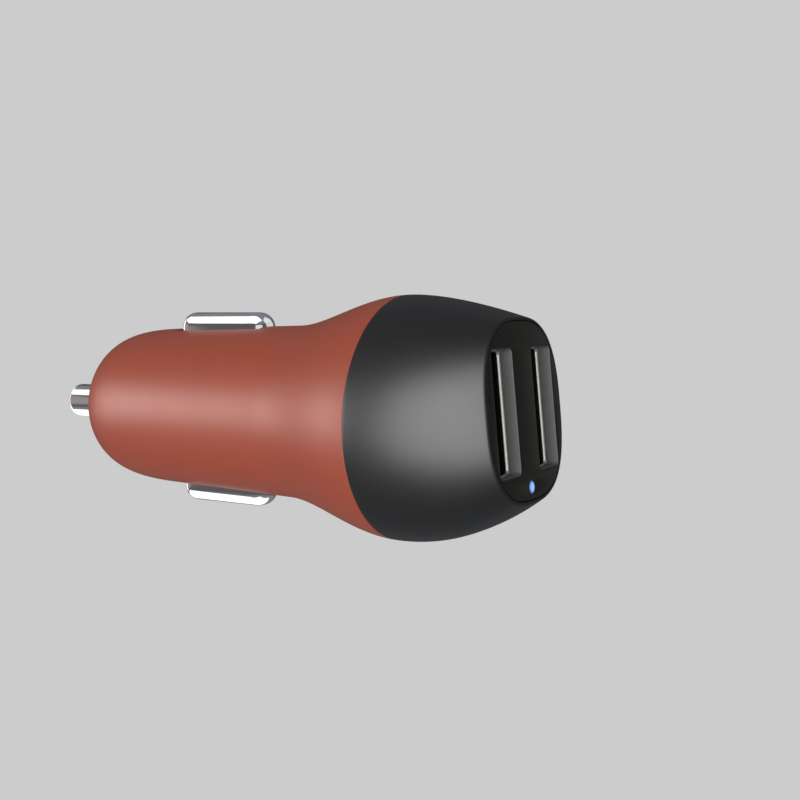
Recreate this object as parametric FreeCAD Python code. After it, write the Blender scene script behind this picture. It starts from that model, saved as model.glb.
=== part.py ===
import FreeCAD, Part
import math
import os

from FreeCAD import Placement, Rotation, Vector

# In-car charger plug for a 12 V socket, with two charging ports side by side in its head.
# Sizes are in millimetres. +X runs along the plug from the centre contact to the front face and
# +Z is up. The origin lies on the barrel's axis, in the plane where the flare begins, because the
# mouth of the car's socket stops the plug there.

# Barrel housing: nose, barrel and flare in one moulding
BARREL_LENGTH = 30.8      # apex of the nose to the seat plane
NOSE_LENGTH = 11.5        # apex to where the nose runs into the barrel
NOSE_RADIUS = 10.0        # at the end of the nose
NOSE_FULLNESS = 0.78      # 0.55 would make the nose an ellipse, more makes it blunter
SEAT_RADIUS = 10.5
FLARE_LENGTH = 15.4       # seat plane to the parting ring
RING_RADIUS = 14.12
RING_SLOPE = 0.035        # how fast the outline still widens as it crosses the parting ring
HOUSING_WALL = 1.6

# Port openings side by side in the face, and the walls that the face leaves round them
PORT_SPACING = 9.7        # centre to centre
OPENING_WIDTH = 4.9
OPENING_HEIGHT = 13.6
OPENING_CORNER = 0.5
PORT_SIDE_WALL = 1.95     # opening to the side of the face
PORT_END_WALL = 3.35      # opening to the top and bottom of the face

# Head shell: round at the parting ring, a tilted squarish oval at the front
HEAD_LENGTH = 14.66
FACE_HALF_HEIGHT = OPENING_HEIGHT / 2 + PORT_END_WALL
FACE_HALF_WIDTH = (PORT_SPACING + OPENING_WIDTH) / 2 + PORT_SIDE_WALL
FACE_SQUARENESS = 2.73    # power of the oval: 2 is an ellipse, more is squarer
FACE_RISE = 1.49          # height of the face's centre over the barrel's axis
FACE_TILT = -5.44         # degrees about +Y: the face looks slightly upward
TAPER_POWER = 1.85        # how late the head narrows
RISE_POWER = 2.4          # how late its centre line bends up
SQUARE_POWER = 1.6        # how late its section turns squarish
HEAD_STATIONS = 6
OVAL_POINTS = 24
HEAD_WALL = 1.2
SHOULDER_THICKNESS = 1.2  # ring that closes the step between the head and its spigot
SPIGOT_LENGTH = 3.3
SPIGOT_WALL = 1.2
SPIGOT_FIT = 0.05
SNAP_COUNT = 4
SNAP_WIDTH = 3.0
SNAP_LENGTH = 0.8
SNAP_HEIGHT = 0.3
SNAP_FROM_RING = 2.0

# Front plate, its seat in the head shell and its hooks
PLATE_THICKNESS = 1.4
PLATE_LAND = 0.35         # rim of the head shell left round the plate
PLATE_FIT = 0.07
LEDGE_WIDTH = 0.9
LEDGE_THICKNESS = 1.2
HOOK_WIDTH = 1.8
HOOK_THICKNESS = 0.9
HOOK_REACH = 0.5
HOOK_HEAD = 0.7
HOOK_PLACES = ((0.0, 1), (-3.1, -1), (3.1, -1))   # distance from the middle, top or bottom

# Charging ports: the metal shell behind each opening, its insulator and its contacts
SHELL_WIDTH = 4.75        # inside
SHELL_HEIGHT = 13.1       # inside
SHELL_SHEET = 0.3
SHELL_CORNER = 0.4
SHELL_DEPTH = 13.5
MOUTH_STEP = 0.1
MOUTH_DEPTH = 0.4
SOLDER_TAB_LENGTH = 1.5
SOLDER_TAB_SPACING = 9.0
PASSAGE_FIT = 0.15        # room round each port shell in the ledge
INSERT_FIT = 0.02
BACK_BLOCK_LENGTH = 3.0
FOOT_LENGTH = 1.8
TONGUE_RECESS = 3.0       # mouth of the metal shell to the tip of the tongue
TONGUE_THICKNESS = 1.84
TONGUE_HEIGHT = 11.2
TONGUE_OFFSET = 0.6       # from the middle of the port towards the board
CONTACT_PLACES = (-3.5, -1.0, 1.0, 3.5)
CONTACT_WIDTH = 1.0
CONTACT_SHEET = 0.2
CONTACT_START = 0.5       # tip of the tongue to the end of the contacts

# Light pipe and the light behind it
LIGHT_FROM_OPENING = 1.6  # level of the openings' lower edge to the middle of the light
LIGHT_DROP = OPENING_HEIGHT / 2 + LIGHT_FROM_OPENING
LIGHT_RADIUS = 0.7
LIGHT_COLLAR_RADIUS = 1.2
LIGHT_COLLAR_LENGTH = 0.6
LIGHT_PIPE_LENGTH = 3.2
LIGHT_FIT = 0.03
LED_DEPTH = 3.5           # face to the front of the light chip
LED_SIZE = (1.0, 1.2, 1.6)

# Centre contact, its spring and the brass cup behind it
PIN_REACH = 7.9           # apex of the nose to the tip of the pin
PIN_RADIUS = 2.2
PIN_TIP_RADIUS = 1.1      # rounding of the tip's edge
PIN_RUNNING_FIT = 0.07
PIN_TRAVEL = 2.5
NOSE_FLOOR = 2.2          # apex to the shoulder that stops the pin's flange
FLANGE_RADIUS = 3.2
FLANGE_LENGTH = 1.0
STOP_GAP = 0.05
GUIDE_RADIUS = 1.6
GUIDE_LENGTH = 2.0
CHAMBER_RADIUS = 3.4
CHAMBER_WALL = 1.1
PIN_SPARE = 1.05          # left between the guide and the cup when the pin is right in
CUP_THICKNESS = 0.8
CUP_FIT = 0.03
CUP_PIP_RADIUS = 1.5
CUP_PIP_LENGTH = 0.6
PIN_COIL_RADIUS = 2.6     # to the middle of the wire
PIN_WIRE_RADIUS = 0.25
PIN_COIL_TURNS = 6

# Side contacts, top and bottom, with their springs
CLIP_FROM_NOSE = 1.2      # end of the nose to the clip
CLIP_LENGTH = 13.4
CLIP_WIDTH = 4.4
CLIP_STAND = 1.9          # height of the crest over the barrel
CLIP_ROUNDING = 1.9
CLIP_SHEET = 0.5
CLIP_SKIRT_GAP = 0.3      # inner face of the barrel's wall to the edge of the skirt
CLIP_TRAVEL = 1.5
CLIP_SPARE = 0.4          # left between the feet and the board's edge when the clip is right in
CLIP_FIT = 0.12
CLIP_END_FIT = 0.15
CLIP_FOOT_WIDTH = 3.4
CLIP_FOOT_REACH = 0.8
CLIP_COIL_RADIUS = 0.95
CLIP_WIRE_RADIUS = 0.2
CLIP_COIL_TURNS = 5
CLIP_COIL_FIT = 0.02      # under the rounded inside of the clip

# Ground strap: a brass hoop round the board that carries both side springs
STRAP_SHEET = 0.4
STRAP_LENGTH = 8.0
STRAP_HALF_WIDTH = 2.2
STRAP_SIDE = 4.8          # outer face of its upright, from the middle plane
STRAP_PIP_RADIUS = 0.6
STRAP_PIP_HEIGHT = 0.5

# Wire of the springs
RUNS_PER_TURN = 12
WIRE_SIDES = 6

# Circuit board in the middle plane, and the ribs that hold its rear end
BOARD_THICKNESS = 1.2
BOARD_HEAD_HALF_HEIGHT = 8.8
BOARD_HEAD_MARGIN = 1.0   # board left behind the ports' contacts
BOARD_TAB_HALF_HEIGHT = 1.5
BOARD_TAB_LENGTH = 0.6
RIB_LENGTH = 1.2
RIB_THICKNESS = 1.2
RIB_DEPTH = 1.0           # how far the ribs reach over the board's edge
RIB_FIT = 0.05
RIB_FROM_CUP = 0.3
RIB_FROM_CLIP = 1.0

# Parts on the board, each row started from the piece before it
CAN_RADIUS = 3.15
CAN_LENGTH = 7.0
CAN_CRIMP = 1.1           # base of the can to its crimped groove
CAN_GAP = 0.05
LEAD_RADIUS = 0.25
LEAD_SPACING = 2.5
LEAD_REACH = 0.8
LEAD_GAP = 0.55           # board's shoulder or the last piece to a can's leads
INDUCTOR_SIZE = (7.0, 4.2, 7.0)
FUSE_SIZE = (4.5, 1.8, 3.0)
REGULATOR_BODY = (4.9, 1.5, 3.9)
RECTIFIER_SIZE = (4.4, 2.2, 3.6)
CONTROLLER_BODY = (2.9, 1.1, 1.6)
CHIP_GAP = 1.4
RESISTOR_SIZE = (0.8, 0.45, 1.6)
RESISTOR_PITCH = 1.6
RESISTOR_COUNT = 5
RESISTOR_ROW = 3.4
CHIP_CAPACITOR_SIZE = (2.0, 0.9, 1.25)
CHIP_CAPACITOR_PITCH = 2.9
CHIP_CAPACITOR_COUNT = 2
CHIP_CAPACITOR_ROW = 2.6

# Places that follow from the sizes above
APEX_X = -BARREL_LENGTH
NOSE_END_X = APEX_X + NOSE_LENGTH
RING_X = FLARE_LENGTH
SPIGOT_RADIUS = RING_RADIUS - HOUSING_WALL
BARREL_SLOPE = (SEAT_RADIUS - NOSE_RADIUS) / (BARREL_LENGTH - NOSE_LENGTH)
FACE = Placement(Vector(RING_X + HEAD_LENGTH, 0, FACE_RISE), Rotation(Vector(0, 1, 0), FACE_TILT))
PIN_STOP_X = APEX_X + NOSE_FLOOR
FLANGE_X = PIN_STOP_X + STOP_GAP
GUIDE_END_X = FLANGE_X + FLANGE_LENGTH + GUIDE_LENGTH
CUP_X = GUIDE_END_X + PIN_TRAVEL + PIN_SPARE + CUP_PIP_LENGTH
CUP_END_X = CUP_X + CUP_THICKNESS
BOARD_X = CUP_END_X + BOARD_TAB_LENGTH
BOARD_FACE = BOARD_THICKNESS / 2
CLIP_START = NOSE_END_X + CLIP_FROM_NOSE
CLIP_END = CLIP_START + CLIP_LENGTH
CLIP_MIDDLE = CLIP_START + CLIP_LENGTH / 2


def barrel_radius(x):
    """Outer radius of the straight, slightly conical stretch of the barrel."""
    return SEAT_RADIUS + BARREL_SLOPE * x


def foot_top():
    """Height of the side contacts' feet, just under the barrel's inner face."""
    bore = barrel_radius(CLIP_START - CLIP_FOOT_REACH) - HOUSING_WALL
    return math.sqrt(bore ** 2 - (CLIP_FOOT_WIDTH / 2) ** 2) - STOP_GAP


CLIP_CREST = barrel_radius(CLIP_MIDDLE) + CLIP_STAND
CLIP_SKIRT = barrel_radius(CLIP_START) - HOUSING_WALL + CLIP_SKIRT_GAP
FOOT_TOP = foot_top()
FOOT_BOTTOM = FOOT_TOP - CLIP_SHEET
BOARD_HALF_HEIGHT = FOOT_BOTTOM - CLIP_TRAVEL - CLIP_SPARE
STRAP_TOP = BOARD_HALF_HEIGHT + STRAP_SHEET
PORT_TO_BOARD = PORT_SPACING / 2 - BOARD_FACE
PORT_BACK = SHELL_DEPTH + FOOT_LENGTH
INPUT_CAN_BASE = BOARD_X + LEAD_GAP + LEAD_RADIUS + LEAD_REACH
OUTPUT_CAN_BASE = INPUT_CAN_BASE + CAN_LENGTH + LEAD_GAP + LEAD_RADIUS + LEAD_REACH
INDUCTOR_START = OUTPUT_CAN_BASE + CAN_LENGTH + LEAD_GAP
FUSE_START = BOARD_X + CHIP_GAP
REGULATOR_START = FUSE_START + FUSE_SIZE[0] + CHIP_GAP
RECTIFIER_START = REGULATOR_START + REGULATOR_BODY[0] + CHIP_GAP
CONTROLLER_START = RECTIFIER_START + RECTIFIER_SIZE[0] + CHIP_GAP
CHIP_CAPACITOR_START = CONTROLLER_START + CONTROLLER_BODY[0] + CHIP_GAP


def block(x_span, y_span, z_span):
    """Box between the two ends given for each direction."""
    corner = Vector(x_span[0], y_span[0], z_span[0])
    return Part.makeBox(x_span[1] - x_span[0], y_span[1] - y_span[0], z_span[1] - z_span[0], corner)


def rod(radius, start, end, y=0.0, z=0.0):
    """Cylinder along X."""
    return Part.makeCylinder(radius, end - start, Vector(start, y, z), Vector(1, 0, 0))


def edges_along(shape, direction):
    """Straight edges of a shape that run along a direction."""
    found = []
    for edge in shape.Edges:
        if isinstance(edge.Curve, Part.Line) and abs(edge.Curve.Direction.dot(direction)) > 0.999:
            found.append(edge)
    return found


def rounded_bar(x_span, width, height, corner):
    """Bar along X with a rounded rectangular section, centred on the axis."""
    bar = block(x_span, (-width / 2, width / 2), (-height / 2, height / 2))
    return bar.makeFillet(corner, edges_along(bar, Vector(1, 0, 0)))


def bezier(*poles):
    """Edge of a Bezier curve in the plane Y = 0, from pairs of x and z."""
    curve = Part.BezierCurve()
    curve.setPoles([Vector(x, 0, z) for x, z in poles])
    return curve.toShape()


def line(start, end):
    """Straight edge in the plane Y = 0, from pairs of x and z."""
    return Part.makeLine(Vector(start[0], 0, start[1]), Vector(end[0], 0, end[1]))


def revolved(edges):
    """Solid turned about the X axis from the edges of a closed outline."""
    return Part.Face(Part.Wire(edges)).revolve(Vector(0, 0, 0), Vector(1, 0, 0), 360)


def coil(radius, wire_radius, height, turns):
    """Compression spring of short straight runs that stands on the origin along +Z."""
    rise = height - 2 * wire_radius
    runs = turns * RUNS_PER_TURN
    route = []
    for step in range(runs + 1):
        angle = 2 * math.pi * step / RUNS_PER_TURN
        level = wire_radius + rise * step / runs
        route.append(Vector(radius * math.cos(angle), radius * math.sin(angle), level))
    section = []
    for corner in range(WIRE_SIDES + 1):
        angle = 2 * math.pi * corner / WIRE_SIDES
        out = radius + wire_radius * math.sin(angle)
        section.append(Vector(out, 0, wire_radius + wire_radius * math.cos(angle)))
    mitred = 1
    return Part.makePolygon(route).makePipeShell([Part.makePolygon(section)], True, False, mitred)


def housing_form(inset):
    """Solid of the nose, barrel and flare, with the outline moved in by inset."""
    apex = (APEX_X + inset, 0)
    nose_end = (NOSE_END_X, NOSE_RADIUS - inset)
    seat = (0, SEAT_RADIUS - inset)
    ring = (RING_X, RING_RADIUS - inset)
    nose_run = NOSE_FULLNESS * (nose_end[0] - apex[0])
    flare_run = FLARE_LENGTH / 3
    nose = bezier(
        apex,
        (apex[0], NOSE_FULLNESS * nose_end[1]),
        (nose_end[0] - nose_run, nose_end[1] - BARREL_SLOPE * nose_run),
        nose_end,
    )
    barrel = line(nose_end, seat)
    flare = bezier(
        seat,
        (flare_run, seat[1] + BARREL_SLOPE * flare_run),
        (RING_X - flare_run, ring[1] - RING_SLOPE * flare_run),
        ring,
    )
    end = line(ring, (RING_X, 0))
    axis = line((RING_X, 0), apex)
    return revolved([nose, barrel, flare, end, axis])


def oval_wire(half_width, half_height, squareness):
    """Closed curve in the YZ plane, between an ellipse and a rectangle."""
    points = []
    for step in range(OVAL_POINTS):
        angle = 2 * math.pi * step / OVAL_POINTS
        across = abs(math.cos(angle) / half_width) ** squareness
        up = abs(math.sin(angle) / half_height) ** squareness
        radius = (across + up) ** (-1 / squareness)
        points.append(Vector(0, radius * math.cos(angle), radius * math.sin(angle)))
    curve = Part.BSplineCurve()
    curve.interpolate(Points=points, PeriodicFlag=True)
    return Part.Wire(curve.toShape())


def head_section(share, inset):
    """Section of the head at a share of the way from the parting ring to the face."""
    swell = RING_SLOPE * HEAD_LENGTH * share * (1 - share)
    taper = share ** TAPER_POWER
    half_height = RING_RADIUS + swell - (RING_RADIUS - FACE_HALF_HEIGHT) * taper - inset
    half_width = RING_RADIUS + swell - (RING_RADIUS - FACE_HALF_WIDTH) * taper - inset
    squareness = 2 + (FACE_SQUARENESS - 2) * share ** SQUARE_POWER
    wire = oval_wire(half_width, half_height, squareness)
    centre = Vector(RING_X + HEAD_LENGTH * share, 0, FACE_RISE * share ** RISE_POWER)
    wire.Placement = Placement(centre, Rotation(Vector(0, 1, 0), FACE_TILT * share))
    return wire


def head_form(inset):
    """Solid of the head, lofted from the parting ring to the face."""
    shares = [station / (HEAD_STATIONS - 1) for station in range(HEAD_STATIONS)]
    return Part.makeLoft([head_section(share, inset) for share in shares], True)


def on_face(shape):
    """Move a shape drawn about the face's centre, with +X out of the face, to its place."""
    placed = shape.copy()
    placed.Placement = FACE.multiply(placed.Placement)
    return placed


def face_prism(inset, depth_start, depth_end):
    """Prism behind the face, with the face's outline moved in by inset."""
    wire = oval_wire(FACE_HALF_WIDTH - inset, FACE_HALF_HEIGHT - inset, FACE_SQUARENESS)
    prism = Part.Face(wire).extrude(Vector(depth_start - depth_end, 0, 0))
    prism.translate(Vector(-depth_start, 0, 0))
    return on_face(prism)


def in_port(shape, side):
    """Move a shape drawn in a port to the left (-1) or right (1) port.

    In the port's own frame the mouth of the metal shell is at X = 0, its inside is at -X and the
    circuit board lies on the +Y side.
    """
    turn = Rotation(Vector(1, 0, 0), 0 if side < 0 else 180)
    place = Placement(Vector(-PLATE_THICKNESS, side * PORT_SPACING / 2, 0), turn)
    placed = shape.copy()
    placed.Placement = place.multiply(placed.Placement)
    return on_face(placed)


def snap_nibs(extra):
    """Nibs round the spigot, larger by extra on every side when used as recesses."""
    outer = rod(
        SPIGOT_RADIUS + SNAP_HEIGHT + extra,
        RING_X - SNAP_FROM_RING - extra,
        RING_X - SNAP_FROM_RING + SNAP_LENGTH + extra,
    )
    half = SNAP_WIDTH / 2 + extra
    nibs = []
    for step in range(SNAP_COUNT):
        bar = block((0, RING_X), (-half, half), (SPIGOT_RADIUS - SPIGOT_WALL / 2, RING_RADIUS))
        angle = 360 * (step + 0.5) / SNAP_COUNT
        bar.rotate(Vector(0, 0, 0), Vector(1, 0, 0), angle)
        nibs.append(outer.common(bar))
    return nibs


def clip_slots():
    """Slots of the barrel that the side contacts move in."""
    half = CLIP_WIDTH / 2 + CLIP_FIT
    span = (CLIP_START - CLIP_END_FIT, CLIP_END + CLIP_END_FIT)
    return [block(span, (-half, half), sorted((side * NOSE_RADIUS / 2, side * CLIP_CREST)))
            for side in (-1, 1)]


def board_ribs():
    """Ribs in the barrel with a groove between each pair for the board's edge."""
    ribs = []
    for start in (CUP_END_X + RIB_FROM_CUP, CLIP_END + CLIP_FOOT_REACH + RIB_FROM_CLIP):
        for up in (-1, 1):
            for side in (-1, 1):
                inner = BOARD_FACE + RIB_FIT
                y_span = sorted((side * inner, side * (inner + RIB_THICKNESS)))
                z_span = sorted((up * (BOARD_HALF_HEIGHT - RIB_DEPTH), up * SEAT_RADIUS))
                ribs.append(block((start, start + RIB_LENGTH), y_span, z_span))
    return ribs


def barrel_housing():
    """Nose, barrel and flare: one hollow moulding, open at the parting ring."""
    outside = housing_form(0)
    housing = outside.cut(housing_form(HOUSING_WALL))
    chamber = rod(CHAMBER_RADIUS + CHAMBER_WALL, APEX_X, CUP_END_X)
    inner_parts = [part.common(outside) for part in [chamber] + board_ribs()]
    housing = housing.fuse(inner_parts)
    pin_bore = rod(PIN_RADIUS + PIN_RUNNING_FIT, APEX_X - 1, CUP_END_X)
    spring_bore = rod(CHAMBER_RADIUS, PIN_STOP_X, CUP_END_X + 1)
    spigot_bore = rod(SPIGOT_RADIUS + SPIGOT_FIT, RING_X - SPIGOT_LENGTH - SPIGOT_FIT, RING_X + 1)
    cuts = [pin_bore, spring_bore, spigot_bore] + clip_slots() + snap_nibs(SPIGOT_FIT)
    return housing.cut(cuts).removeSplitter()


def head_shell():
    """Black head: a tapering shell with a spigot behind and a rebate in front for the plate."""
    hollow_end = PLATE_THICKNESS + LEDGE_THICKNESS
    shoulder = rod(2 * RING_RADIUS, RING_X - 1, RING_X + SHOULDER_THICKNESS)
    front_wall = on_face(rod(2 * RING_RADIUS, -hollow_end, 1))
    hollow = head_form(HEAD_WALL).cut([shoulder, front_wall])
    spigot = rod(SPIGOT_RADIUS, RING_X - SPIGOT_LENGTH, RING_X)
    shell = head_form(0).fuse([spigot] + snap_nibs(0))
    through = rod(SPIGOT_RADIUS - SPIGOT_WALL, RING_X - SPIGOT_LENGTH - 1, RING_X + SHOULDER_THICKNESS)
    rebate = face_prism(PLATE_LAND, 0, PLATE_THICKNESS)
    ledge_opening = face_prism(PLATE_LAND + LEDGE_WIDTH, PLATE_THICKNESS, hollow_end + HEAD_WALL)
    cuts = [hollow, through, rebate, ledge_opening, light_passage()]
    passage = rounded_bar(
        (-SHELL_DEPTH, 0),
        SHELL_WIDTH + 2 * (SHELL_SHEET + PASSAGE_FIT),
        SHELL_HEIGHT + 2 * (SHELL_SHEET + PASSAGE_FIT),
        SHELL_CORNER + SHELL_SHEET,
    )
    cuts += [in_port(passage, side) for side in (-1, 1)]
    return shell.cut(cuts).removeSplitter()


def light_passage():
    """Room for the light pipe's collar in the ledge behind the plate."""
    depth = PLATE_THICKNESS + LEDGE_THICKNESS + HEAD_WALL
    return on_face(rod(LIGHT_COLLAR_RADIUS + PASSAGE_FIT, -depth, -PLATE_THICKNESS, 0, -LIGHT_DROP))


def plate_hook(across, up):
    """Hook behind the plate that snaps over the ledge, at a distance from the middle."""
    edge = FACE_HALF_HEIGHT - PLATE_LAND - LEDGE_WIDTH
    share = (abs(across) + HOOK_WIDTH / 2) / (FACE_HALF_WIDTH - PLATE_LAND - LEDGE_WIDTH)
    rim = edge * (1 - share ** FACE_SQUARENESS) ** (1 / FACE_SQUARENESS) - PLATE_FIT
    tip = -(PLATE_THICKNESS + LEDGE_THICKNESS + PLATE_FIT)
    y_span = (across - HOOK_WIDTH / 2, across + HOOK_WIDTH / 2)
    inner = up * (rim - HOOK_THICKNESS)
    leg = block((tip - HOOK_HEAD, -PLATE_THICKNESS), y_span, sorted((inner, up * rim)))
    head = block((tip - HOOK_HEAD, tip), y_span, sorted((inner, up * (rim + HOOK_REACH))))
    return on_face(leg.fuse(head))


def front_plate():
    """Gloss face plate with both port openings, the light's hole and hooks behind."""
    plate = face_prism(PLATE_LAND + PLATE_FIT, 0, PLATE_THICKNESS)
    plate = plate.fuse([plate_hook(across, up) for across, up in HOOK_PLACES])
    opening = rounded_bar((-1, PLATE_THICKNESS + 1), OPENING_WIDTH, OPENING_HEIGHT, OPENING_CORNER)
    cuts = [in_port(opening, side) for side in (-1, 1)]
    cuts.append(on_face(rod(LIGHT_RADIUS + LIGHT_FIT, -PLATE_THICKNESS - 1, 1, 0, -LIGHT_DROP)))
    return plate.cut(cuts).removeSplitter()


def light_pipe():
    """Round clear rod that shows the light in the face, with a collar behind the plate."""
    pipe = rod(LIGHT_RADIUS, -LIGHT_PIPE_LENGTH, 0, 0, -LIGHT_DROP)
    collar_end = -PLATE_THICKNESS - LIGHT_COLLAR_LENGTH
    collar = rod(LIGHT_COLLAR_RADIUS, collar_end, -PLATE_THICKNESS, 0, -LIGHT_DROP)
    return on_face(pipe.fuse(collar).removeSplitter())


def status_led():
    """Light chip on the board's front edge, behind the light pipe."""
    length, width, height = LED_SIZE
    chip = block(
        (-LED_DEPTH - length, -LED_DEPTH),
        (-width / 2, width / 2),
        (-LIGHT_DROP - height / 2, -LIGHT_DROP + height / 2),
    )
    return on_face(chip)


def port_shell(side):
    """Folded metal shell of a port with two tabs that stand on the board."""
    outer_width = SHELL_WIDTH + 2 * SHELL_SHEET
    outer_height = SHELL_HEIGHT + 2 * SHELL_SHEET
    tube = rounded_bar((-SHELL_DEPTH, 0), outer_width, outer_height, SHELL_CORNER + SHELL_SHEET)
    tube = tube.cut(rounded_bar((-SHELL_DEPTH - 1, 1), SHELL_WIDTH, SHELL_HEIGHT, SHELL_CORNER))
    mouth_width = SHELL_WIDTH + 2 * MOUTH_STEP
    mouth_height = SHELL_HEIGHT + 2 * MOUTH_STEP
    tube = tube.cut(rounded_bar((-MOUTH_DEPTH, 1), mouth_width, mouth_height, SHELL_CORNER + MOUTH_STEP))
    tabs = []
    for up in (-1, 1):
        middle = up * SOLDER_TAB_SPACING / 2
        tabs.append(block(
            (-SHELL_DEPTH + SOLDER_TAB_LENGTH, -SHELL_DEPTH + 2 * SOLDER_TAB_LENGTH),
            (outer_width / 2 - SHELL_SHEET / 2, PORT_TO_BOARD),
            (middle - SHELL_SHEET / 2, middle + SHELL_SHEET / 2),
        ))
    return in_port(tube.fuse(tabs).removeSplitter(), side)


def contact_strips():
    """Four contact strips of a port, in the port's own frame."""
    face = TONGUE_OFFSET - TONGUE_THICKNESS / 2
    strips = []
    for place in CONTACT_PLACES:
        z_span = (place - CONTACT_WIDTH / 2, place + CONTACT_WIDTH / 2)
        blade = block((-PORT_BACK, -TONGUE_RECESS - CONTACT_START), (face - CONTACT_SHEET, face), z_span)
        tail_span = (-PORT_BACK - CONTACT_SHEET, -PORT_BACK)
        tail = block(tail_span, (face - CONTACT_SHEET, PORT_TO_BOARD), z_span)
        strips.append(blade.fuse(tail).removeSplitter())
    return strips


def port_contacts(side):
    """The four strips of one port, as separate solids."""
    return Part.makeCompound([in_port(strip, side) for strip in contact_strips()])


def port_insulator(side):
    """Moulded block that closes the shell behind, with the tongue that carries the contacts."""
    back = rounded_bar(
        (-SHELL_DEPTH, -SHELL_DEPTH + BACK_BLOCK_LENGTH),
        SHELL_WIDTH - 2 * INSERT_FIT,
        SHELL_HEIGHT - 2 * INSERT_FIT,
        SHELL_CORNER,
    )
    foot = block(
        (-PORT_BACK, -SHELL_DEPTH),
        (-SHELL_WIDTH / 2 - SHELL_SHEET, PORT_TO_BOARD),
        (-SHELL_HEIGHT / 2, SHELL_HEIGHT / 2),
    )
    tongue = block(
        (-SHELL_DEPTH, -TONGUE_RECESS),
        (TONGUE_OFFSET - TONGUE_THICKNESS / 2, TONGUE_OFFSET + TONGUE_THICKNESS / 2),
        (-TONGUE_HEIGHT / 2, TONGUE_HEIGHT / 2),
    )
    body = back.fuse([foot, tongue]).cut(contact_strips())
    return in_port(body.removeSplitter(), side)


def centre_pin():
    """Turned contact: rounded tip, shank, flange and a guide for the spring."""
    tip = APEX_X - PIN_REACH
    shank = rod(PIN_RADIUS, tip, FLANGE_X + FLANGE_LENGTH)
    tip_edges = [edge for edge in shank.Edges if edge.BoundBox.XMax < tip + STOP_GAP]
    shank = shank.makeFillet(PIN_TIP_RADIUS, tip_edges)
    flange = rod(FLANGE_RADIUS, FLANGE_X, FLANGE_X + FLANGE_LENGTH)
    guide = rod(GUIDE_RADIUS, FLANGE_X, FLANGE_X + FLANGE_LENGTH + GUIDE_LENGTH)
    return shank.fuse([flange, guide]).removeSplitter()


def pin_spring():
    """Spring between the pin's flange and the brass cup."""
    start = FLANGE_X + FLANGE_LENGTH
    spring = coil(PIN_COIL_RADIUS, PIN_WIRE_RADIUS, CUP_X - start, PIN_COIL_TURNS)
    spring.rotate(Vector(0, 0, 0), Vector(0, 1, 0), 90)
    spring.translate(Vector(start, 0, 0))
    return spring


def spring_cup():
    """Brass cup that closes the chamber and passes the current to the board's tab."""
    disc = rod(CHAMBER_RADIUS - CUP_FIT, CUP_X, CUP_END_X)
    pip = rod(CUP_PIP_RADIUS, CUP_X - CUP_PIP_LENGTH, CUP_END_X)
    return disc.fuse(pip).removeSplitter()


def clip_block(inset, bottom):
    """Rounded block of the side contact's outline, moved in by inset and cut off below."""
    half = CLIP_WIDTH / 2 - inset
    body = block((CLIP_START + inset, CLIP_END - inset), (-half, half), (bottom, CLIP_CREST - inset))
    top_edges = [edge for edge in body.Edges if edge.BoundBox.ZMax > bottom + CLIP_ROUNDING]
    return body.makeFillet(CLIP_ROUNDING - inset, top_edges)


def top_clip():
    """Drawn side contact: a rounded channel with an end leg and a foot at each end."""
    shell = clip_block(0, CLIP_SKIRT).cut(clip_block(CLIP_SHEET, CLIP_SKIRT - 1))
    half = CLIP_FOOT_WIDTH / 2
    leg_top = CLIP_SKIRT + 2 * CLIP_SHEET
    pieces = []
    for end, way in ((CLIP_START, 1), (CLIP_END, -1)):
        leg_span = sorted((end, end + way * CLIP_SHEET))
        foot_span = sorted((end - way * CLIP_FOOT_REACH, end + way * CLIP_SHEET))
        pieces.append(block(leg_span, (-half / 2, half / 2), (FOOT_BOTTOM, leg_top)))
        pieces.append(block(foot_span, (-half, half), (FOOT_BOTTOM, FOOT_TOP)))
    return shell.fuse(pieces).removeSplitter()


def top_clip_spring():
    """Spring from the ground strap up to where its coil meets the clip's rounded inside."""
    hollow = CLIP_ROUNDING - CLIP_SHEET
    across = CLIP_COIL_RADIUS - (CLIP_WIDTH / 2 - CLIP_ROUNDING)
    wire_level = math.sqrt((hollow - CLIP_WIRE_RADIUS) ** 2 - across ** 2)
    top = CLIP_CREST - CLIP_ROUNDING + wire_level + CLIP_WIRE_RADIUS - CLIP_COIL_FIT
    spring = coil(CLIP_COIL_RADIUS, CLIP_WIRE_RADIUS, top - STRAP_TOP, CLIP_COIL_TURNS)
    spring.translate(Vector(CLIP_MIDDLE, 0, STRAP_TOP))
    return spring


def turned_below(shape):
    """The same piece on the underside of the barrel."""
    turned = shape.copy()
    turned.rotate(Vector(0, 0, 0), Vector(1, 0, 0), 180)
    return turned


def ground_strap():
    """Brass hoop that sits on both edges of the board and passes it on one side."""
    span = (CLIP_MIDDLE - STRAP_LENGTH / 2, CLIP_MIDDLE + STRAP_LENGTH / 2)
    upright = block(span, (STRAP_SIDE - STRAP_SHEET, STRAP_SIDE), (-STRAP_TOP, STRAP_TOP))
    parts = []
    for up in (-1, 1):
        z_span = sorted((up * BOARD_HALF_HEIGHT, up * STRAP_TOP))
        parts.append(block(span, (-STRAP_HALF_WIDTH, STRAP_SIDE), z_span))
        pip_base = Vector(CLIP_MIDDLE, 0, up * BOARD_HALF_HEIGHT)
        pip_height = STRAP_SHEET + STRAP_PIP_HEIGHT
        parts.append(Part.makeCylinder(STRAP_PIP_RADIUS, pip_height, pip_base, Vector(0, 0, up)))
    return upright.fuse(parts).removeSplitter()


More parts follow.
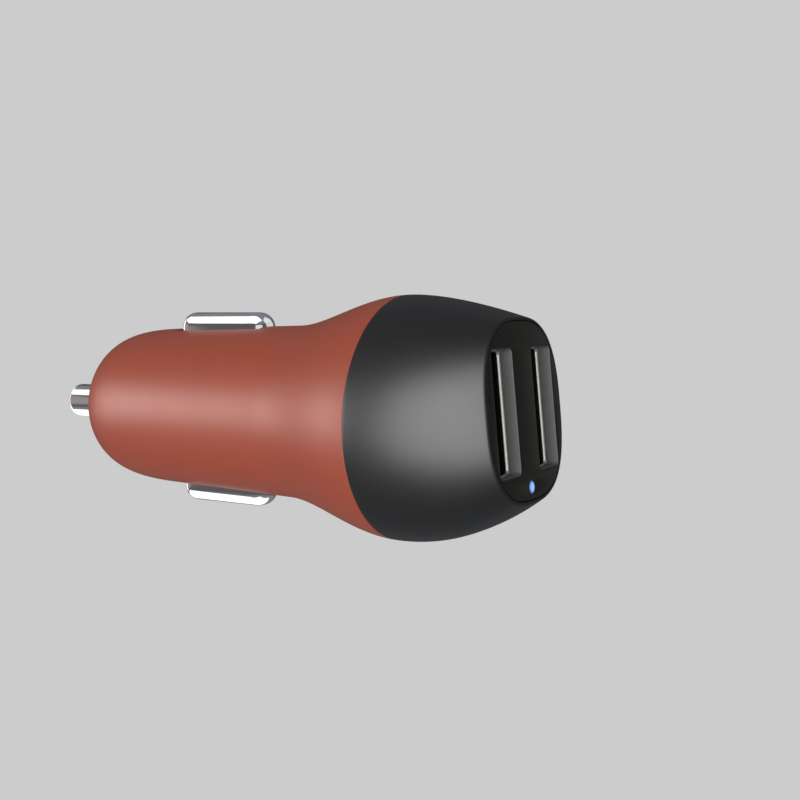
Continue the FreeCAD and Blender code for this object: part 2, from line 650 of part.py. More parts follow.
def main_board():
    """Board outline: narrow in the barrel, tall and tilted with the ports in the head."""
    y_span = (-BOARD_FACE, BOARD_FACE)
    tab_half = BOARD_TAB_HALF_HEIGHT
    head_depth = PLATE_THICKNESS + PORT_BACK + CONTACT_SHEET + BOARD_HEAD_MARGIN
    front_depth = LED_DEPTH + LED_SIZE[0]
    tab = block((CUP_END_X, BOARD_X), y_span, (-tab_half, tab_half))
    body = block((BOARD_X, RING_X), y_span, (-BOARD_HALF_HEIGHT, BOARD_HALF_HEIGHT))
    half = BOARD_HEAD_HALF_HEIGHT
    head = on_face(block((-head_depth, -front_depth), y_span, (-half, half)))
    return body.fuse([tab, head]).removeSplitter()


def on_board(size, start, side, middle=0.0):
    """Block of a given size that lies on one face of the board."""
    length, height, width = size
    y_span = sorted((side * BOARD_FACE, side * (BOARD_FACE + height)))
    return block((start, start + length), y_span, (middle - width / 2, middle + width / 2))


def can_capacitor(base):
    """Electrolytic can that lies along the board, with a crimped groove and two bent leads."""
    middle = -(BOARD_FACE + CAN_GAP + CAN_RADIUS)
    groove = CAN_RADIUS * 0.12
    outline = [
        (base, 0),
        (base, CAN_RADIUS - groove),
        (base + groove, CAN_RADIUS),
        (base + CAN_CRIMP - groove, CAN_RADIUS),
        (base + CAN_CRIMP, CAN_RADIUS - groove),
        (base + CAN_CRIMP + groove, CAN_RADIUS),
        (base + CAN_LENGTH - groove, CAN_RADIUS),
        (base + CAN_LENGTH, CAN_RADIUS - groove),
        (base + CAN_LENGTH, 0),
    ]
    edges = [line(start, end) for start, end in zip(outline, outline[1:] + outline[:1])]
    can = revolved(edges)
    can.translate(Vector(0, middle, 0))
    leads = []
    for up in (-1, 1):
        z = up * LEAD_SPACING / 2
        turn_x = base - LEAD_REACH
        leads.append(rod(LEAD_RADIUS, turn_x, base + LEAD_RADIUS, middle, z))
        leads.append(Part.makeSphere(LEAD_RADIUS, Vector(turn_x, middle, z)))
        leads.append(Part.makeCylinder(
            LEAD_RADIUS, -BOARD_FACE - middle, Vector(turn_x, middle, z), Vector(0, 1, 0)))
    return can.fuse(leads).removeSplitter()


def inductor():
    """Shielded power inductor: a square ferrite block with bevelled corners and a round core."""
    block_shape = on_board(INDUCTOR_SIZE, INDUCTOR_START, -1)
    length, height, width = INDUCTOR_SIZE
    block_shape = block_shape.makeChamfer(length * 0.15, edges_along(block_shape, Vector(0, 1, 0)))
    face = -(BOARD_FACE + height)
    centre = Vector(INDUCTOR_START + length / 2, face, 0)
    recess = Part.makeCylinder(width * 0.4, height * 0.1, centre, Vector(0, 1, 0))
    core = Part.makeCylinder(width * 0.3, height * 0.1, centre, Vector(0, 1, 0))
    return block_shape.cut(recess.cut(core)).removeSplitter()


def leaded_chip(body_size, start, leads_per_side):
    """Chip body held just off the board by a row of leads along each edge."""
    length, height, width = body_size
    lift = height * 0.1
    lead = length / (2.5 * leads_per_side)
    y_span = (BOARD_FACE + lift, BOARD_FACE + height)
    body = block((start, start + length), y_span, (-width / 2, width / 2))
    leads = []
    for number in range(leads_per_side):
        x = start + length * (number + 0.5) / leads_per_side - lead / 2
        for up in (-1, 1):
            z_span = sorted((up * (width / 2 - lead), up * (width / 2 + lead)))
            leads.append(block((x, x + lead), (BOARD_FACE, BOARD_FACE + height / 2), z_span))
    return body.fuse(leads).removeSplitter()


def chip_rows(size, start, pitch, count, row):
    """Two rows of like chips, above and below the board's middle line, as separate solids."""
    chips = []
    for middle in (-row, row):
        for number in range(count):
            chips.append(on_board(size, start + number * pitch, 1, middle))
    return Part.makeCompound(chips)


def export(name, shape):
    """Write one sub-part and say what it holds."""
    shape.exportStep("parts/" + name + ".step")
    solids = len(shape.Solids)
    print(f"{name}: {solids} solid(s), {shape.Volume:.2f} mm3, valid {shape.isValid()}")


def main():
    os.makedirs("parts", exist_ok=True)
    clip = top_clip()
    clip_spring = top_clip_spring()
    nodes = {
        "barrel_housing": barrel_housing(),
        "head_shell": head_shell(),
        "front_plate": front_plate(),
        "light_pipe": light_pipe(),
        "status_led": status_led(),
        "centre_pin": centre_pin(),
        "pin_spring": pin_spring(),
        "spring_cup": spring_cup(),
        "clip_top": clip,
        "clip_bottom": turned_below(clip),
        "clip_spring_top": clip_spring,
        "clip_spring_bottom": turned_below(clip_spring),
        "ground_strap": ground_strap(),
        "main_board": main_board(),
        "input_capacitor": can_capacitor(INPUT_CAN_BASE),
        "output_capacitor": can_capacitor(OUTPUT_CAN_BASE),
        "inductor": inductor(),
        "input_fuse": on_board(FUSE_SIZE, FUSE_START, 1),
        "regulator_chip": leaded_chip(REGULATOR_BODY, REGULATOR_START, 4),
        "rectifier": on_board(RECTIFIER_SIZE, RECTIFIER_START, 1),
        "control_chip": leaded_chip(CONTROLLER_BODY, CONTROLLER_START, 3),
        "chip_resistors": chip_rows(
            RESISTOR_SIZE, RECTIFIER_START, RESISTOR_PITCH, RESISTOR_COUNT, RESISTOR_ROW),
        "chip_capacitors": chip_rows(
            CHIP_CAPACITOR_SIZE, CHIP_CAPACITOR_START, CHIP_CAPACITOR_PITCH,
            CHIP_CAPACITOR_COUNT, CHIP_CAPACITOR_ROW),
    }
    for name, side in (("left", -1), ("right", 1)):
        nodes["port_shell_" + name] = port_shell(side)
        nodes["port_insulator_" + name] = port_insulator(side)
        nodes["port_contacts_" + name] = port_contacts(side)
    for name, shape in nodes.items():
        export(name, shape)


main()
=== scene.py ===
# %% [markdown]
# # In-car charger plug
# The object is a round charger plug for a car's 12 V socket: a terracotta barrel with a chromed tip
# and two chromed side contacts, and a black head with two charging ports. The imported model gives
# every size and place. This lesson dresses it: each step says what a piece or a finish is on the
# real object, how it could be made in Blender, and why one way was chosen.

# %% Load the frame
import math

import bmesh
import bpy
from mathutils import Matrix, Quaternion, Vector


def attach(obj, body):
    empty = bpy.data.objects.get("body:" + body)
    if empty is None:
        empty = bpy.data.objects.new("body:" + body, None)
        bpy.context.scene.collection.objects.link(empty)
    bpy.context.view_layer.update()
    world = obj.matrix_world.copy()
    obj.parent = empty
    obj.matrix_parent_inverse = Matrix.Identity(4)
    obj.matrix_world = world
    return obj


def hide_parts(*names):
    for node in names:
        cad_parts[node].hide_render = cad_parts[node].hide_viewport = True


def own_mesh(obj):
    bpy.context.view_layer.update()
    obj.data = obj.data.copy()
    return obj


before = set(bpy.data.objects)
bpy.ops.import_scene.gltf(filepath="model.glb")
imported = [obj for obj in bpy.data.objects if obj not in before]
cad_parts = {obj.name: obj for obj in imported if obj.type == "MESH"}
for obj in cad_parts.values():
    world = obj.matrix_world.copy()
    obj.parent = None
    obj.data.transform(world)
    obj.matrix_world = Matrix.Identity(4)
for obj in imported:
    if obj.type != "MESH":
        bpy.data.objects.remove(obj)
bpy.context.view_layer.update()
MM = 0.001

# %% [markdown]
# ## Node helper
# Shader trees and Geometry Nodes trees are made of nodes, settings and links. One function that adds
# a node, sets its properties and fills its inputs keeps both kinds short. An input takes a plain
# value or the output of another node, and filling is a step of its own, because a new material
# already has its shader.


# %% Add a node
def fill_inputs(tree, node, inputs):
    """Give inputs of a node plain values, or links from the outputs of other nodes."""
    for socket, source in inputs.items():
        if isinstance(source, bpy.types.NodeSocket):
            tree.links.new(source, node.inputs[socket])
        else:
            node.inputs[socket].default_value = source


def add_node(tree, kind, inputs=None, **settings):
    """Add a node with its settings and fill its inputs."""
    made = tree.nodes.new(kind)
    for name, value in settings.items():
        setattr(made, name, value)
    fill_inputs(tree, made, inputs or {})
    return made


# %% [markdown]
# ## Colours and plain finishes
# A colour is read off as an sRGB code, but a shader works in linear light, so one function turns the
# code. Every finish starts as a Principled shader with the values of its material. A pattern on
# Object coordinates, which are in metres here, gets its scale from a real size in millimetres.


# %% Start a finish
def linear(code):
    """Linear colour with alpha from an sRGB code such as A0523F."""
    channels = [int(code[place:place + 2], 16) / 255 for place in (0, 2, 4)]
    curved = [c / 12.92 if c <= 0.04045 else ((c + 0.055) / 1.055) ** 2.4 for c in channels]
    return (*curved, 1.0)


def start_finish(name, code, roughness, metallic=0.0, **sockets):
    """New material with a Principled shader; gives the material, its tree and the shader."""
    finish = bpy.data.materials.new(name)
    finish.use_nodes = True
    finish.diffuse_color = linear(code)
    shader = finish.node_tree.nodes["Principled BSDF"]
    fill_inputs(finish.node_tree, shader, {
        "Base Color": linear(code), "Roughness": roughness, "Metallic": metallic, **sockets})
    return finish, finish.node_tree, shader


# %% Let patterns rule a finish
def follow_patterns(tree, shader, pattern, codes, roughness, surface, height_mm, strength):
    """Colour and roughness between two values each by one pattern, and level by a second one."""
    tint = add_node(tree, "ShaderNodeMix", {
        0: pattern, 6: linear(codes[0]), 7: linear(codes[1])}, data_type="RGBA")
    shine = add_node(tree, "ShaderNodeMapRange", {
        "Value": pattern, "To Min": roughness[0], "To Max": roughness[1]})
    relief = add_node(tree, "ShaderNodeBump", {
        "Height": surface, "Distance": height_mm * MM, "Strength": strength})
    fill_inputs(tree, shader, {
        "Base Color": tint.outputs[2], "Roughness": shine.outputs[0], "Normal": relief.outputs[0]})


# %% [markdown]
# ## Moulded plastics
# The barrel and the head are satin moulded ABS: the mould's spark texture scatters the light, so a
# softbox shows as one broad streak. The real texture is about 0.1 mm wide, too fine to show at this
# distance, so it is drawn at 0.25 mm. Two noises do it: a slow one for the moulding and a fine one
# for the texture. A photographed texture would do too, but would not keep its size on a new piece.


# %% Satin plastic
def satin_abs(name, codes, roughness, specular):
    """Satin moulded ABS with a fine texture and a slight drift of colour and shine."""
    finish, tree, shader = start_finish(
        name, codes[0], roughness, **{"Specular IOR Level": specular})
    place = add_node(tree, "ShaderNodeTexCoord").outputs["Object"]
    drift = add_node(tree, "ShaderNodeTexNoise", {
        "Vector": place, "Scale": 1 / (6.0 * MM), "Detail": 3.0}).outputs["Fac"]
    texture = add_node(tree, "ShaderNodeTexNoise", {
        "Vector": place, "Scale": 1 / (0.25 * MM), "Detail": 2.0}).outputs["Fac"]
    shines = (roughness - 0.03, roughness + 0.03)
    follow_patterns(tree, shader, drift, codes, shines, texture, height_mm=0.004, strength=0.35)
    return finish


# Warm brick red whose highlight turns pink, because the sheen on top of the colour is neutral
terracotta_abs = satin_abs("terracotta_satin_abs", ("A94B32", "A5482F"), 0.47, 0.33)
# Near black that shows only as its own soft grey streak and dark edges
black_abs = satin_abs("black_satin_abs", ("191919", "171717"), 0.47, 0.3)
print("plastics:", terracotta_abs.name, black_abs.name)

# %% [markdown]
# ## Grained surfaces
# Everything else has one grain that rules its colour, its shine and its level together: drawing
# lines on wire and cans, rolling lines on sheet, fibres in the nylon, specks in ferrite and ceramic.
# One function with the grain's real size and stretch serves them all, and a metal differs only by
# being metallic. A metal keeps the default IOR, since its colour does the work.


# %% One grain for colour, shine and level
def grained(name, codes, roughness, grain_mm, stretch, height_mm, metallic=0.0):
    """Finish between two colours and two roughnesses that follow a grain of a real size."""
    finish, tree, shader = start_finish(name, codes[0], roughness[0], metallic)
    place = add_node(tree, "ShaderNodeTexCoord").outputs["Object"]
    drawn = add_node(tree, "ShaderNodeMapping", {"Vector": place, "Scale": stretch}).outputs[0]
    grain = add_node(tree, "ShaderNodeTexNoise", {
        "Vector": drawn, "Scale": 1 / (grain_mm * MM), "Detail": 3.0}).outputs["Fac"]
    follow_patterns(tree, shader, grain, codes, roughness, grain, height_mm, strength=0.2)
    return finish


EVEN, LENGTHWISE, UPRIGHT = (1.0, 1.0, 1.0), (0.2, 1.0, 1.0), (1.0, 1.0, 0.25)

# %% Plastic with fibres
# Dull charcoal with short pale fibres, so the depth of a port reads as dark but not as empty
insulator_nylon = grained(
    "glass_filled_nylon", ("141517", "1D1E20"), (0.45, 0.65), 0.5, LENGTHWISE, 0.01)
print("nylon:", insulator_nylon.name)

# %% Metals
# Mirror bright with a hint of ripple: the studio shows in it as hard white and dark bands
chrome = grained(
    "polished_chrome_plate", ("E3E4E6", "DDDEE0"), (0.05, 0.12), 1.2, LENGTHWISE, 0.002, 1.0)
# Warmer and softer than chrome: blurred lines along the fold of the sheet
nickel_sheet = grained(
    "nickel_plated_sheet", ("C9C7C2", "BDBBB6"), (0.18, 0.30), 0.4, LENGTHWISE, 0.002, 1.0)
# Grey wire with fine drawing lines, which make its coils glint in short dashes
spring_wire = grained(
    "drawn_spring_steel", ("A9A8A6", "989795"), (0.25, 0.38), 0.3, UPRIGHT, 0.002, 1.0)
# Yellow sheet with slightly browner patches where fingers and the press have been
stamped_brass = grained(
    "stamped_brass", ("C9A55A", "B8924C"), (0.25, 0.40), 0.6, LENGTHWISE, 0.002, 1.0)
# Thin gold over bronze: richer yellow, with a smooth shine that varies along the grain
gold_contact = grained(
    "gold_flashed_bronze", ("E0B45C", "D6A650"), (0.18, 0.28), 0.5, LENGTHWISE, 0.001, 1.0)
# Pale can with the long soft lines of deep drawing
can_aluminium = grained(
    "drawn_aluminium_can", ("B4B6BA", "A6A8AC"), (0.28, 0.42), 0.5, LENGTHWISE, 0.002, 1.0)
print("metals:", chrome.name, nickel_sheet.name, gold_contact.name)

# %% Board and its parts
# Deep green lacquer over woven glass: half gloss with a faint mottle
laminate = grained("lacquered_glass_laminate", ("1E5A38", "1A4E31"), (0.30, 0.40), 0.8, EVEN, 0.005)
# Charcoal epoxy with the sandy skin that hides its mould marks
chip_epoxy = grained("moulded_chip_epoxy", ("1B1C1E", "26272A"), (0.50, 0.65), 0.2, EVEN, 0.01)
# Dull grey sinter with dark pores
ferrite = grained("sintered_ferrite", ("3A3B3D", "2B2C2E"), (0.60, 0.75), 0.15, EVEN, 0.015)
# Tan fired body with a chalky speckle
ceramic = grained("fired_tan_ceramic", ("9C8058", "8A6F4B"), (0.40, 0.55), 0.2, EVEN, 0.008)
# Pale yellow resin that holds the phosphor over the light chip
phosphor_resin = grained("phosphor_resin", ("E8E2B4", "DDD6A2"), (0.30, 0.45), 0.3, EVEN, 0.005)
print("board:", laminate.name, chip_epoxy.name, ferrite.name, ceramic.name, phosphor_resin.name)


# %% [markdown]
# ## Face plate's plastic
# The mould of the face plate is polished in front and spark eroded in the walls of its openings, so
# the face is a dark mirror while the walls are satin. The walls also get a lighter grey colour than
# the face: painted light, for the light they catch. One finish does both: the part of the surface's
# direction that points out of the face picks the polish and the dark colour. The plate's outer
# edge is polished as well, so everything beyond a box round the two openings is taken as face.

# %% The face's place and the plate's finish
RING_X, HEAD_LENGTH, FACE_RISE, FACE_TILT = 15.4, 14.66, 1.49, -5.44
FACE_MATRIX = (Matrix.Translation(Vector((RING_X + HEAD_LENGTH, 0, FACE_RISE)) * MM)
               @ Matrix.Rotation(math.radians(FACE_TILT), 4, "Y"))
OUT_OF_FACE = FACE_MATRIX.to_3x3() @ Vector((1, 0, 0))
# Half the box round both openings; the plate's outer edge lies just beyond it
WALLS_REACH = (1.0, 7.36 * MM, 6.86 * MM)


def polish_and_painted_light_abs(polished, satin, satin_roughness, outward):
    """Plastic that is polished where it faces outward, and satin with a painted lighter grey in the
    openings' walls.
    """
    finish, tree, shader = start_finish("polished_black_abs_painted_light", polished, 0.16)
    coordinates = add_node(tree, "ShaderNodeTexCoord").outputs
    facing = add_node(tree, "ShaderNodeVectorMath", {
        0: coordinates["Normal"], 1: outward}, operation="DOT_PRODUCT").outputs["Value"]
    haze = add_node(tree, "ShaderNodeTexNoise", {
        "Vector": coordinates["Object"], "Scale": 1 / (3.0 * MM), "Detail": 2.0}).outputs["Fac"]
    polish = add_node(tree, "ShaderNodeMapRange", {"Value": haze, "To Min": 0.13, "To Max": 0.19})
    front = add_node(tree, "ShaderNodeMapRange", {
        "Value": facing, "From Min": 0.8, "From Max": 0.97}).outputs[0]
    boxed = add_node(tree, "ShaderNodeMapping", {
        "Vector": coordinates["Object"], "Location": FACE_MATRIX.translation,
        "Rotation": FACE_MATRIX.to_euler(), "Scale": WALLS_REACH}, vector_type="TEXTURE")
    size = add_node(tree, "ShaderNodeVectorMath", {0: boxed.outputs[0]}, operation="ABSOLUTE")
    reach = add_node(tree, "ShaderNodeSeparateXYZ", {0: size.outputs[0]}).outputs
    farther = add_node(tree, "ShaderNodeMath", {0: reach["Y"], 1: reach["Z"]}, operation="MAXIMUM")
    beyond = add_node(tree, "ShaderNodeMath", {
        0: farther.outputs[0], 1: 1.0}, operation="GREATER_THAN")
    share = add_node(tree, "ShaderNodeMath", {
        0: front, 1: beyond.outputs[0]}, operation="MAXIMUM").outputs[0]
    rough = add_node(tree, "ShaderNodeMix", {
        0: share, 2: satin_roughness, 3: polish.outputs[0]}, data_type="FLOAT").outputs[0]
    # Painted light: the walls take the lighter grey colour, the face and the outer edge the dark one
    tint = add_node(tree, "ShaderNodeMix", {
        0: share, 6: linear(satin), 7: linear(polished)}, data_type="RGBA").outputs[2]
    fill_inputs(tree, shader, {"Base Color": tint, "Roughness": rough})
    return finish


# Dark mirror in front; the walls of the openings get a lighter grey, which is painted light
plate_abs = polish_and_painted_light_abs("0E0F10", "525252", 0.65, OUT_OF_FACE)
print("plate:", plate_abs.name)

# %% [markdown]
# ## Mouths of the ports
# The bent edge of a port's sleeve keeps the nickel's own colour; the sheet behind it stands in the
# port's shade, painted in as a darker colour. The same part of the surface's direction tells the two
# apart, so the nickel made above only gets the painted shade where it doesn't face outward.


# %% Paint shade on the nickel behind the mouths
def paint_shade_behind(finish, outward, shade_code):
    """Keep a finish's colour where the surface faces outward and paint shade elsewhere."""
    tree = finish.node_tree
    shader = tree.nodes["Principled BSDF"]
    bright = shader.inputs["Base Color"].links[0].from_socket
    normal = add_node(tree, "ShaderNodeTexCoord").outputs["Normal"]
    facing = add_node(tree, "ShaderNodeVectorMath", {
        0: normal, 1: outward}, operation="DOT_PRODUCT").outputs["Value"]
    share = add_node(tree, "ShaderNodeMapRange", {
        "Value": facing, "From Min": 0.1, "From Max": 0.3}, interpolation_type="SMOOTHSTEP")
    # Painted shade: where the sleeve doesn't face outward it takes the dark colour
    tint = add_node(tree, "ShaderNodeMix", {
        0: share.outputs[0], 6: linear(shade_code), 7: bright}, data_type="RGBA").outputs[2]
    fill_inputs(tree, shader, {"Base Color": tint})


# The mouth draws one thin bright line and the inside of the port has painted shade down to near black
paint_shade_behind(nickel_sheet, OUT_OF_FACE, "3C3B38")
print("dulled:", nickel_sheet.name)

# %% [markdown]
# ## Light window
# The window is a clear rod whose end glows light blue, palest in the middle and deeper blue towards
# its rim, where less of the light arrives. So the glow follows the distance from the rod's axis. It
# stays below full strength, because a stronger glow would clip to white and lose its colour.

# %% The light window's finish
LIGHT_RADIUS, LIGHT_CORE, LIGHT_DROP = 0.7, 0.35, 8.4


def lit_window(middle):
    """Clear polycarbonate lit from behind, glowing most round the middle of its front end."""
    finish, tree, shader = start_finish("lit_clear_polycarbonate", "24345A", 0.25)
    place = add_node(tree, "ShaderNodeTexCoord").outputs["Object"]
    reach = add_node(tree, "ShaderNodeVectorMath", {0: place, 1: middle}, operation="DISTANCE")
    share = add_node(tree, "ShaderNodeMapRange", {
        "Value": reach.outputs["Value"], "From Min": LIGHT_CORE * MM, "From Max": LIGHT_RADIUS * MM},
        interpolation_type="SMOOTHSTEP").outputs[0]
    glow = add_node(tree, "ShaderNodeMix", {
        0: share, 6: linear("9ABEFF"), 7: linear("3A5FA8")}, data_type="RGBA").outputs[2]
    fill_inputs(tree, shader, {"Emission Color": glow, "Emission Strength": 0.95})
    return finish


light_middle = FACE_MATRIX @ (Vector((0, 0, -LIGHT_DROP)) * MM)
window_glow = lit_window(light_middle)
print("finishes:", len(bpy.data.materials))

# %% [markdown]
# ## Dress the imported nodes
# A node whose shape is right keeps its mesh and only gets a better finish in its material slots.


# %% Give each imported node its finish
DRESSED = (
    (stamped_brass, ("spring_cup", "ground_strap")),
    (laminate, ("main_board",)),
    (can_aluminium, ("input_capacitor", "output_capacitor")),
    (ferrite, ("inductor",)),
    (ceramic, ("input_fuse", "chip_capacitors")),
    (chip_epoxy, ("regulator_chip", "control_chip", "rectifier", "chip_resistors")),
    (phosphor_resin, ("status_led",)),
    (insulator_nylon, ("port_insulator_left", "port_insulator_right")),
    (gold_contact, ("port_contacts_left", "port_contacts_right")),
)
for finish, node_names in DRESSED:
    for node_name in node_names:
        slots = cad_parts[node_name].data.materials
        slots.clear()
        slots.append(finish)
print("dressed nodes:", sum(len(node_names) for finish, node_names in DRESSED))

# %% [markdown]
# ## From an outline to a form
# Half of this object is turned or swept: one outline carried round an axis. A lathe modifier could
# do the round pieces, but the head needs a rule of its own, so both kinds share the same start in
# Geometry Nodes: the outline is a mesh whose points lie in order, a grid has one row for each of
# them and one column for each step round, and every grid point looks up its own outline point.


# %% Outlines
def arc_corner(before, corner, after, radius, steps=4):
    """Points that round a corner between its two neighbours."""
    to_before = (Vector(before) - Vector(corner)).normalized()
    to_after = (Vector(after) - Vector(corner)).normalized()
    half = to_before.angle(to_after) / 2
    centre = Vector(corner) + (to_before + to_after).normalized() * (radius / math.sin(half))
    first = Vector(corner) + to_before * (radius / math.tan(half)) - centre
    last = Vector(corner) + to_after * (radius / math.tan(half)) - centre
    shares = [step / steps for step in range(steps + 1)]
    return [tuple(centre + first.lerp(last, share).normalized() * radius) for share in shares]


def rounded(corners):
    """Outline points from corners of x, height and rounding; the ends stay as they are."""
    points = []
    for number, (x, height, radius) in enumerate(corners):
        if radius and 0 < number < len(corners) - 1:
            around = [corner[:2] for corner in corners[number - 1:number + 2]]
            points += arc_corner(*around, radius)
        else:
            points.append((x, height))
    return points


def bezier(start, pull_a, pull_b, end, steps):
    """Points of a cubic curve, without its last one."""
    points = []
    for step in range(steps):
        t = step / steps
        shares = ((1 - t) ** 3, 3 * t * (1 - t) ** 2, 3 * t ** 2 * (1 - t), t ** 3)
        poles = (start, pull_a, pull_b, end)
        points.append(tuple(sum(s * p[axis] for s, p in zip(shares, poles)) for axis in (0, 1)))
    return points


# %% The shared start of both trees
def start_tree(name, sizes):
    """New Geometry Nodes tree with a geometry input, named sizes and a geometry output."""
    tree = bpy.data.node_groups.new(name, "GeometryNodeTree")
    tree.interface.new_socket("Outline", in_out="INPUT", socket_type="NodeSocketGeometry")
    for size, kind in sizes.items():
        tree.interface.new_socket(size, in_out="INPUT", socket_type=kind)
    tree.interface.new_socket("Piece", in_out="OUTPUT", socket_type="NodeSocketGeometry")
    return tree, add_node(tree, "NodeGroupInput").outputs


def sweep_grid(tree, given):
    """Grid with a row for each outline point; gives the grid, the point looked up and the angle."""
    outline = given["Outline"]
    count = add_node(tree, "GeometryNodeAttributeDomainSize", {0: outline}, component="MESH")
    columns = add_node(tree, "ShaderNodeMath", {0: given["Steps"], 1: 1.0}, operation="ADD")
    grid = add_node(tree, "GeometryNodeMeshGrid", {
        "Vertices X": count.outputs["Point Count"], "Vertices Y": columns.outputs[0]})
    index = add_node(tree, "GeometryNodeInputIndex").outputs[0]
    ratio = add_node(tree, "ShaderNodeMath", {0: index, 1: columns.outputs[0]}, operation="DIVIDE")
    row = add_node(tree, "ShaderNodeMath", {0: ratio.outputs[0]}, operation="FLOOR")
    column = add_node(tree, "ShaderNodeMath", {0: index, 1: columns.outputs[0]}, operation="MODULO")
    place = add_node(tree, "GeometryNodeInputPosition").outputs[0]
    point = add_node(tree, "GeometryNodeSampleIndex", data_type="FLOAT_VECTOR", domain="POINT")
    fill_inputs(tree, point, {"Geometry": outline, "Value": place, "Index": row.outputs[0]})
    turn = add_node(tree, "ShaderNodeMath", {
        0: column.outputs[0], 1: given["Steps"]}, operation="DIVIDE")
    angle = add_node(tree, "ShaderNodeMath", {0: turn.outputs[0], 1: math.tau}, operation="MULTIPLY")
    return grid.outputs["Mesh"], point.outputs["Value"], angle.outputs[0]


def end_tree(tree, given, mesh, position):
    """Move the grid to its form, close its seam and poles, and give it its finish."""
    moved = add_node(tree, "GeometryNodeSetPosition", {"Geometry": mesh, "Position": position})
    closed = add_node(tree, "GeometryNodeMergeByDistance", {
        "Geometry": moved.outputs[0], "Distance": 1e-6})
    real = add_node(tree, "GeometryNodeRealizeInstances", {"Geometry": closed.outputs[0]})
    dressed = add_node(tree, "GeometryNodeSetMaterial", {
        "Geometry": real.outputs[0], "Material": given["Finish"]})
    add_node(tree, "NodeGroupOutput", {0: dressed.outputs[0]})
    return tree


# %% The turning tree
def turning_tree():
    """Carry the outline round the X axis."""
    tree, given = start_tree("turned_form", {
        "Steps": "NodeSocketInt", "Finish": "NodeSocketMaterial"})
    mesh, point, angle = sweep_grid(tree, given)
    turned = add_node(tree, "ShaderNodeVectorRotate", {
        "Vector": point, "Angle": angle}, rotation_type="X_AXIS")
    return end_tree(tree, given, mesh, turned.outputs[0])


turned_form = turning_tree()
print("turning tree nodes:", len(turned_form.nodes))


# %% Run a tree and keep a plain mesh
def outline_mesh(name, points, closed):
    """Mesh of points in order; a closed outline repeats its first point at the end."""
    ring = list(points) + ([points[0]] if closed else [])
    mesh = bpy.data.meshes.new(name)
    mesh.from_pydata([(x * MM, 0.0, height * MM) for x, height in ring], [], [])
    return mesh


def tidy_mesh(mesh, sharp_angle=35.0):
    """Merge doubles, turn all faces outward and keep only real edges sharp."""
    work = bmesh.new()
    work.from_mesh(mesh)
    bmesh.ops.remove_doubles(work, verts=work.verts, dist=1e-6)
    bmesh.ops.dissolve_degenerate(work, edges=work.edges, dist=1e-7)
    bmesh.ops.recalc_face_normals(work, faces=work.faces)
    work.to_mesh(mesh)
    work.free()
    mesh.shade_smooth()
    mesh.set_sharp_from_angle(angle=math.radians(sharp_angle))


def plain_copy(source, name):
    """Mesh of an object with all its modifiers applied."""
    bpy.context.view_layer.update()
    evaluated = source.evaluated_get(bpy.context.evaluated_depsgraph_get())
    mesh = bpy.data.meshes.new_from_object(evaluated)
    mesh.name = name
    return mesh


def new_object(name, mesh):
    """Object in the scene for a mesh."""
    made = bpy.data.objects.new(name, mesh)
    bpy.context.scene.collection.objects.link(made)
    return made


def grow(name, mesh, tree, sizes):
    """Run a tree on a mesh and keep the result as a plain piece."""
    piece = new_object(name, mesh)
    modifier = piece.modifiers.new("form", "NODES")
    modifier.node_group = tree
    for socket in tree.interface.items_tree:
        if socket.name in sizes:
            modifier[socket.identifier] = sizes[socket.name]
    made = plain_copy(piece, name)
    piece.modifiers.clear()
    piece.data = made
    tidy_mesh(made)
    print(name, "faces:", len(made.polygons))
    return piece


# %% [markdown]
# ## Cutting
# Slots and openings are cut with a Boolean modifier, because the cut then has the exact outline of
# the tool that a mould would have there. The modifier is applied and the cutter deleted at once.


# %% Blocks and cuts
def block_piece(name, low, high, rounding=0.0, along=None, steps=5):
    """Block between two corners in millimetres, with rounded edges, or only those along an axis."""
    work = bmesh.new()
    bmesh.ops.create_cube(work, size=1.0)
    for vert in work.verts:
        for axis in range(3):
            middle = (low[axis] + high[axis]) / 2
            vert.co[axis] = (middle + vert.co[axis] * (high[axis] - low[axis])) * MM
    edges = work.edges[:]
    if along is not None:
        edges = [e for e in edges if abs((e.verts[0].co - e.verts[1].co).normalized()[along]) > 0.9]
    if rounding:
        bmesh.ops.bevel(work, geom=edges, offset=rounding * MM, segments=steps, profile=0.5,
                        affect="EDGES")
    mesh = bpy.data.meshes.new(name)
    work.to_mesh(mesh)
    work.free()
    return new_object(name, mesh)


def join(piece, tool, operation):
    """Take another piece's shape out of a piece, or unite the two."""
    modifier = piece.modifiers.new("join", "BOOLEAN")
    modifier.operation = operation
    modifier.solver = "EXACT"
    modifier.object = tool
    made = plain_copy(piece, piece.name)
    piece.modifiers.clear()
    piece.data = made
    bpy.data.objects.remove(tool)
    tidy_mesh(made)


def own(piece, body, finish, node):
    """Give a piece its body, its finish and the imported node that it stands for."""
    piece.data.materials.clear()
    piece.data.materials.append(finish)
    for polygon in piece.data.polygons:
        polygon.material_index = 0
    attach(piece, body)
    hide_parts(node)
    return piece


# %% [markdown]
# ## Barrel housing
# The housing is one moulding: a blunt round nose, a barrel with a hair of taper, and a flare that
# ends at the parting ring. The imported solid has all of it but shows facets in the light, so the
# same outline is turned again with many more steps. Nose and flare are cubic curves that leave the
# barrel's line without a kink, and the edge at the ring is broken by a tenth of a millimetre.

# %% Turn the barrel housing
APEX_X, NOSE_END_X = -30.8, -19.3
NOSE_RADIUS, SEAT_RADIUS, RING_RADIUS = 10.0, 10.5, 14.12
BARREL_SLOPE = (SEAT_RADIUS - NOSE_RADIUS) / (0 - NOSE_END_X)
NOSE_FULLNESS, RING_SLOPE = 0.78, 0.035
PIN_BORE, HOUSING_WALL = 2.27, 1.6
CURVE_STEPS, AROUND = 28, 192


